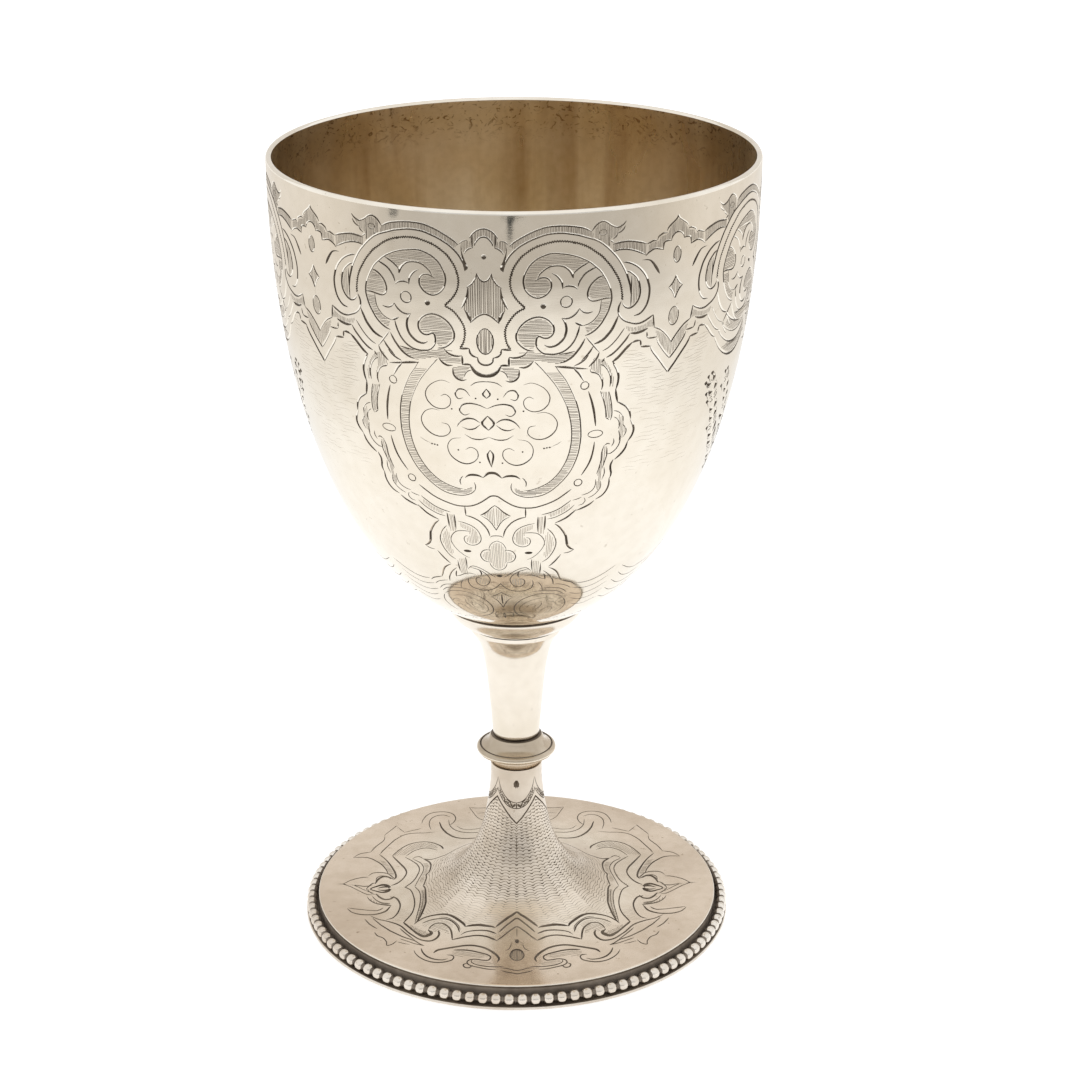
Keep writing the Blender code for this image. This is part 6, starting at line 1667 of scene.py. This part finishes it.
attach(knop, "root")
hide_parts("knop")

collar_points = [(4.62, 33.28), (4.94, 33.2), (5.05, 33.0)]
for k in range(0, 9):
    share = k / 8
    collar_points.append((5.0 - 0.28 * share + 0.1 * math.sin(math.pi * share), 32.85 - 1.32 * share))
collar_points += [(4.66, 31.42), (4.4, 31.4), (3.75, 31.4), (3.75, 33.28)]
collar = lathe_piece("foot_collar_turned", collar_points, 96, [collar_silver, knop_dark])
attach(collar, "root")
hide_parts("foot_collar")


# =====================================================================
# foot
# =====================================================================

def build_foot():
    columns = [math.pi / 2 * k / 30 for k in range(31)]
    q0, q1 = float(FOOT_Q[0]), float(np.interp(38.55, FOOT.r[20:], FOOT_Q[20:]))
    rows = [q0] + list(np.linspace(q0, q1, 74)[1:-1]) + [q1]
    shell = Shell()
    s_top, s_low = float(np.interp(q0, FOOT_Q, FOOT.s)), float(np.interp(q1, FOOT_Q, FOOT.s))
    for back in (False, True):
        d = Drawing(foot_metric, two_walls=False)
        draw_foot(d, back)
        flat, tris, depth, in_cut, across, kinds = cut_sheet(d, columns, rows, 0.06)
        s = np.interp(flat[:, 1], FOOT_Q, FOOT.s)
        r, z, nr, nz = FOOT.at(s)
        lean = leaned(flat[:, 0], r) - flat[:, 0]
        for side in (1, -1):
            angle = flat[:, 0] + lean * (-1 if back else 1)
            sin = side * np.sin(angle)
            cos = np.cos(angle) * (-1 if back else 1)
            rr = r - depth * nr
            points = np.column_stack([rr * sin, -rr * cos, z - depth * nz])
            smooth = np.column_stack([nr * sin, -nr * cos, nz])
            normals = smooth[tris]
            normals[in_cut] = 0
            # the map is the view from above, with each kind of cut in a small disc of its own
            spread = 0.05 + 0.95 * (s - s_top) / (s_low - s_top)
            u, v = 0.5 + 0.49 * spread * sin, 0.5 - 0.49 * spread * cos
            uvs = np.stack([u[tris], v[tris]], -1)
            slot = np.where(in_cut, np.choose(kinds, (1, 4, 1, 5)), 0)
            for number, centre in ((1, (0.055, 0.055)), (4, (0.045, 0.15)), (5, (0.85, 0.045))):
                pick = slot == number
                uvs[pick] = np.array(centre) + (uvs[pick] - 0.5) * 0.078
            shell.add(points, tris, slot, normals, uvs, flip=(side < 0) != back)
    shell.tris = [t[:, ::-1] for t in shell.tris]
    shell.normals = [n[:, ::-1] for n in shell.normals]
    shell.uvs = [u[:, ::-1] for u in shell.uvs]
    steps = 120
    angles = np.arange(steps) * 2 * math.pi / steps
    # rolled rim of the plate, its dark upright edge, and the hollow underside; the upright edge behind the beads and
    # the underside are painted dark, tarnish with painted shade
    r1, z1, n1r, n1z = FOOT.at(s_low)
    a = np.radians(np.linspace(78, 0, 7))
    edge_r = np.concatenate([[r1], 39.16 + 0.18 * np.cos(a)])
    edge_z = np.concatenate([[z1], 3.66 + 0.18 * np.sin(a)])
    edge_nr = np.concatenate([[n1r], np.cos(a)])
    edge_nz = np.concatenate([[n1z], np.sin(a)])
    turned(shell, edge_r, edge_z, angles, [0, 3, 3, 3, 3, 3, 3], (0.9, 0.86, 0.995, 0.99), normals=(edge_nr, edge_nz))
    turned(shell, [39.34, 39.34, 39.34], [3.66, 3.3, 0.95], angles, [1, 2], (0.9, 0.02, 0.995, 0.08), normals=(np.ones(3), np.zeros(3)))
    under = np.array([(q[0], q[1]) for q in smooth_stations(FOOT_STATIONS, 3)])
    d2 = np.gradient(under, axis=0)
    d2 /= np.linalg.norm(d2, axis=1)[:, None]
    below = under + np.column_stack([d2[:, 1], -d2[:, 0]]) * 0.7
    below = below[below[:, 0] < 37.4]
    below[0, 1] = float(np.interp(q0, FOOT_Q, FOOT.z))
    path = np.vstack([[(39.34, 0.95), (38.65, 0.95), (38.65, 2.7), (38.2, 3.0)], below[::-1]])
    turned(shell, path[:, 0], path[:, 1], angles, 2, (0.02, 0.86, 0.12, 0.99))
    top = np.array([(below[0, 0], below[0, 1]), (float(FOOT.at(s_top)[0]), float(FOOT.at(s_top)[1]))])
    turned(shell, top[:, 0], top[:, 1], angles, 0, (0.9, 0.1, 0.995, 0.12), normals=(np.zeros(2), np.ones(2)))
    return shell.build("engraved_foot", [foot_silver, foot_cut, border_tarnish_and_shade, foot_edge, foot_fine, foot_faint])


foot = build_foot()
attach(foot, "root")
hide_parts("foot")


# =====================================================================
# beaded border and base ring
# =====================================================================

def build_beads():
    """One struck wire: 104 beads, a thin rib in each gap, on a dark core. The gaps, the rib and the side towards the
    foot are painted dark: tarnish in the hollows with painted shade.
    """
    count, ring, centre_z = 104, 40.74, 1.80
    half_wide, half_tall = 0.97, 1.05
    along = [-0.5, -0.42, -0.388, -0.34, -0.27, -0.185, -0.095, 0, 0.095, 0.185, 0.27, 0.34, 0.388, 0.42]
    pitch = 2 * math.pi * ring / count
    sides = 16
    psi = np.arange(sides) * 2 * math.pi / sides
    points, kinds = [], []
    phase = math.radians(1.37)
    for k in range(count):
        for t in along:
            x = t * pitch
            inside = 1 - abs(x / half_wide) ** 3.0
            if t == -0.5:
                size, kind = 0.62, 2
            elif abs(t) == 0.42:
                size, kind = 0.44, 1
            else:
                size, kind = max(0.44, max(inside, 0) ** (1 / 2.5) * half_tall), 1 if abs(t) > 0.38 else 0
            phi = phase + (k + t) * 2 * math.pi / count
            ring_r = ring + size * 0.96 * np.cos(psi)
            ring_z = centre_z + size * np.sin(psi)
            points.append(np.column_stack([ring_r * math.sin(phi), -ring_r * math.cos(phi), ring_z]))
            kinds.append(kind)
    n = len(points)
    points = np.concatenate(points)
    idx = np.arange(n * sides).reshape(n, sides)
    tris, slots, uvs = [], [], []
    for i in range(n):
        j = (i + 1) % n
        dark = kinds[i] or kinds[j]
        for a in range(sides):
            b = (a + 1) % sides
            # the side towards the foot and the gaps between beads take the dark materials: tarnish in the hollows with
            # painted shade
            hidden = math.cos(psi[a] + math.pi / sides) < -0.2
            slot = 1 if hidden else 2 if 2 in (kinds[i], kinds[j]) else 1 if dark else 0
            u0, u1 = (i % 400) / 400, ((i % 400) + 1) / 400
            band = 0.5 if slot else 0.0
            row = (i // 400) * 0.12
            v0, v1 = band + row + 0.1 * a / sides, band + row + 0.1 * (a + 1) / sides
            tris += [(idx[i, a], idx[j, a], idx[j, b]), (idx[i, a], idx[j, b], idx[i, b])]
            uvs += [((u0, v0), (u1, v0), (u1, v1)), ((u0, v0), (u1, v1), (u0, v1))]
            slots += [slot, slot]
    tris = np.array(tris)
    slots = np.array(slots)
    # smooth normals within the beads, from the faces that share a point and a material
    a, b, c = points[tris[:, 0]], points[tris[:, 1]], points[tris[:, 2]]
    flat = np.cross(b - a, c - a)
    normals = np.zeros((len(tris), 3, 3))
    for kind in (0, 1, 2):
        pick = slots == kind
        total = np.zeros_like(points)
        for k in range(3):
            np.add.at(total, tris[pick, k], flat[pick])
        total /= np.maximum(np.linalg.norm(total, axis=1), 1e-12)[:, None]
        normals[pick] = total[tris[pick]]
    shell = Shell()
    shell.add(points, tris, slots, normals, np.array(uvs))
    return shell.build("beaded_border_wire", [bead_silver, border_tarnish_and_shade, border_rib])


beads = build_beads()
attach(beads, "root")
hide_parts("bead_border")

ring_points = [(38.2, 0.58), (39.6, 0.6), (41.35, 0.6), (41.6, 0.56), (41.74, 0.44), (41.8, 0.3), (41.74, 0.14), (41.6, 0.03), (41.4, 0.0), (38.4, 0.0), (38.2, 0.12)]
# the ring's top, under the beads and the foot's edge, takes the dark material: painted shade
ring_slots = [1, 1, 1, 0, 0, 0, 0, 0, 0, 0, 1]
base = lathe_piece("base_ring_turned", ring_points, 192, [bead_silver, knop_dark], slot_of=ring_slots, sharp=50)
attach(base, "root")
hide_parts("base_ring")


# =====================================================================
# stage, light and camera
# =====================================================================

def plain(name, colour, glow=0.0, rough=0.9):
    material, tree, shader = nodes_of(name)
    shader.inputs["Base Color"].default_value = (*colour, 1)
    shader.inputs["Roughness"].default_value = rough
    shader.inputs["Emission Color"].default_value = (1, 1, 1, 1)
    shader.inputs["Emission Strength"].default_value = glow
    return material


def board(name, corners, material):
    """Corners are those of one flat board, or the points and faces of a shape."""
    points, faces = corners if isinstance(corners, tuple) else (corners, [(0, 1, 2, 3)])
    mesh = bpy.data.meshes.new(name)
    mesh.from_pydata(points, [], faces)
    mesh.materials.append(material)
    obj = bpy.data.objects.new(name, mesh)
    bpy.context.scene.collection.objects.link(obj)
    return obj


board("studio_floor", [(-4, -4, 0), (4, -4, 0), (4, 4, 0), (-4, 4, 0)], plain("studio_floor_white", (0.6, 0.6, 0.6), 0.58))


def flag(name, corners, strength, tint=(1, 1, 1)):
    """A studio flag that only the polished metal sees. The strength and the tint are values, or functions
    that add the nodes for them."""
    material = bpy.data.materials.new(name)
    material.use_nodes = True
    tree = material.node_tree
    tree.nodes.clear()
    out = tree.nodes.new("ShaderNodeOutputMaterial")
    glow = tree.nodes.new("ShaderNodeEmission")
    if callable(tint):
        tree.links.new(tint(tree), glow.inputs["Color"])
    else:
        glow.inputs["Color"].default_value = (*tint, 1)
    if callable(strength):
        tree.links.new(strength(tree), glow.inputs["Strength"])
    else:
        glow.inputs["Strength"].default_value = strength
    tree.links.new(glow.outputs[0], out.inputs["Surface"])
    obj = board(name, corners, material)
    obj.visible_camera = False
    obj.visible_diffuse = False
    obj.visible_shadow = False
    return obj


def smooth_range(tree, value, low, high, out_low, out_high):
    node = add(tree, "ShaderNodeMapRange", interpolation_type="SMOOTHSTEP")
    for key, number in (("From Min", low), ("From Max", high), ("To Min", out_low), ("To Max", out_high)):
        node.inputs[key].default_value = number
    tree.links.new(value, node.inputs["Value"])
    return node.outputs["Result"]


def table_tint(tree):
    """Neutral near the goblet and a little warmer farther out."""
    far = add(tree, "ShaderNodeVectorMath", operation="LENGTH")
    tree.links.new(add(tree, "ShaderNodeTexCoord").outputs["Object"], far.inputs[0])
    return ramp(tree, far.outputs["Value"], ((0.24, (1.0, 0.995, 0.985)), (0.46, (1.0, 0.955, 0.90))))


def table_light(tree):
    """The table is bright round the goblet and falls off softly farther out, most of all towards the front."""
    split = add(tree, "ShaderNodeSeparateXYZ")
    tree.links.new(add(tree, "ShaderNodeTexCoord").outputs["Object"], split.inputs[0])
    x, y = split.outputs["X"], split.outputs["Y"]
    far = combine(tree, "SQRT", combine(tree, "ADD", combine(tree, "MULTIPLY", x, x), combine(tree, "MULTIPLY", y, y)), 0.0)
    turn = combine(tree, "ABSOLUTE", combine(tree, "ARCTAN2", x, combine(tree, "MULTIPLY", y, -1.0)), 0.0)
    near_side = smooth_range(tree, turn, math.radians(40), math.radians(90), 1.13, 1.01)
    far_side = smooth_range(tree, turn, math.radians(40), math.radians(95), 0.60, 0.88)
    near = combine(tree, "SUBTRACT", 1.17, near_side)
    near = combine(tree, "MULTIPLY", near, smooth_range(tree, far, 0.12, 0.26, 1.0, 0.0))
    share = smooth_range(tree, far, 0.24, 0.42, 0.0, 1.0)
    drop = combine(tree, "MULTIPLY", combine(tree, "SUBTRACT", near_side, far_side), share)
    return combine(tree, "ADD", combine(tree, "SUBTRACT", near_side, drop), near)


def ring_of(inner, outer, height, steps=64):
    """A flat ring's points and faces."""
    points, faces = [], []
    for k in range(steps):
        a = 2 * math.pi * k / steps
        points += [(inner * math.cos(a), inner * math.sin(a), height), (outer * math.cos(a), outer * math.sin(a), height)]
        n = 2 * ((k + 1) % steps)
        faces.append((2 * k, 2 * k + 1, n + 1, n))
    return points, faces


flag("flag_table", ring_of(0.12, 1.58, 0.002), table_light, table_tint)
flag("flag_front", [(-1.6, -1.6, 0.0), (1.6, -1.6, 0.0), (1.6, -1.6, 0.8), (-1.6, -1.6, 0.8)], 0.7, (0.97, 0.98, 1.0))
flag("flag_back", [(-2.4, 1.8, 0.05), (2.4, 1.8, 0.05), (2.4, 1.8, 1.7), (-2.4, 1.8, 1.7)], 0.80, (1.0, 0.965, 0.92))
for k, corners in enumerate((
    [(-0.078, -0.645, 0.004), (0.06, -0.645, 0.004), (0.052, -0.632, 0.004), (0.004, -0.612, 0.004), (-0.004, -0.575, 0.004), (-0.012, -0.52, 0.004),
     (-0.026, -0.52, 0.004), (-0.034, -0.58, 0.004), (-0.04, -0.612, 0.004), (-0.072, -0.63, 0.004)],
    [(-0.53, -0.352, 0.004), (-0.49, -0.385, 0.004), (-0.455, -0.34, 0.004), (-0.485, -0.318, 0.004)],
)):
    corners = (corners, [tuple(range(len(corners)))])
    flag(f"flag_small_{k}", corners, 0.05, (0.9, 1.0, 1.0))

world = bpy.data.worlds.new("studio")
bpy.context.scene.world = world
world.use_nodes = True
background = world.node_tree.nodes["Background"]
background.inputs["Color"].default_value = (1, 1, 1, 1)
background.inputs["Strength"].default_value = 1.0

bpy.context.scene.view_settings.view_transform = "Standard"
bpy.context.scene.view_settings.look = "None"

camera = bpy.data.cameras.new("camera")
camera.lens = 90.78
camera.sensor_width = 36
camera.sensor_fit = "HORIZONTAL"
camera.clip_start = 0.01
view = bpy.data.objects.new("camera", camera)
view.location = (0, -0.48072, 0.26636)
view.rotation_euler = (math.radians(90 - 21.443), 0, math.radians(-0.553))
bpy.context.scene.collection.objects.link(view)
bpy.context.scene.camera = view
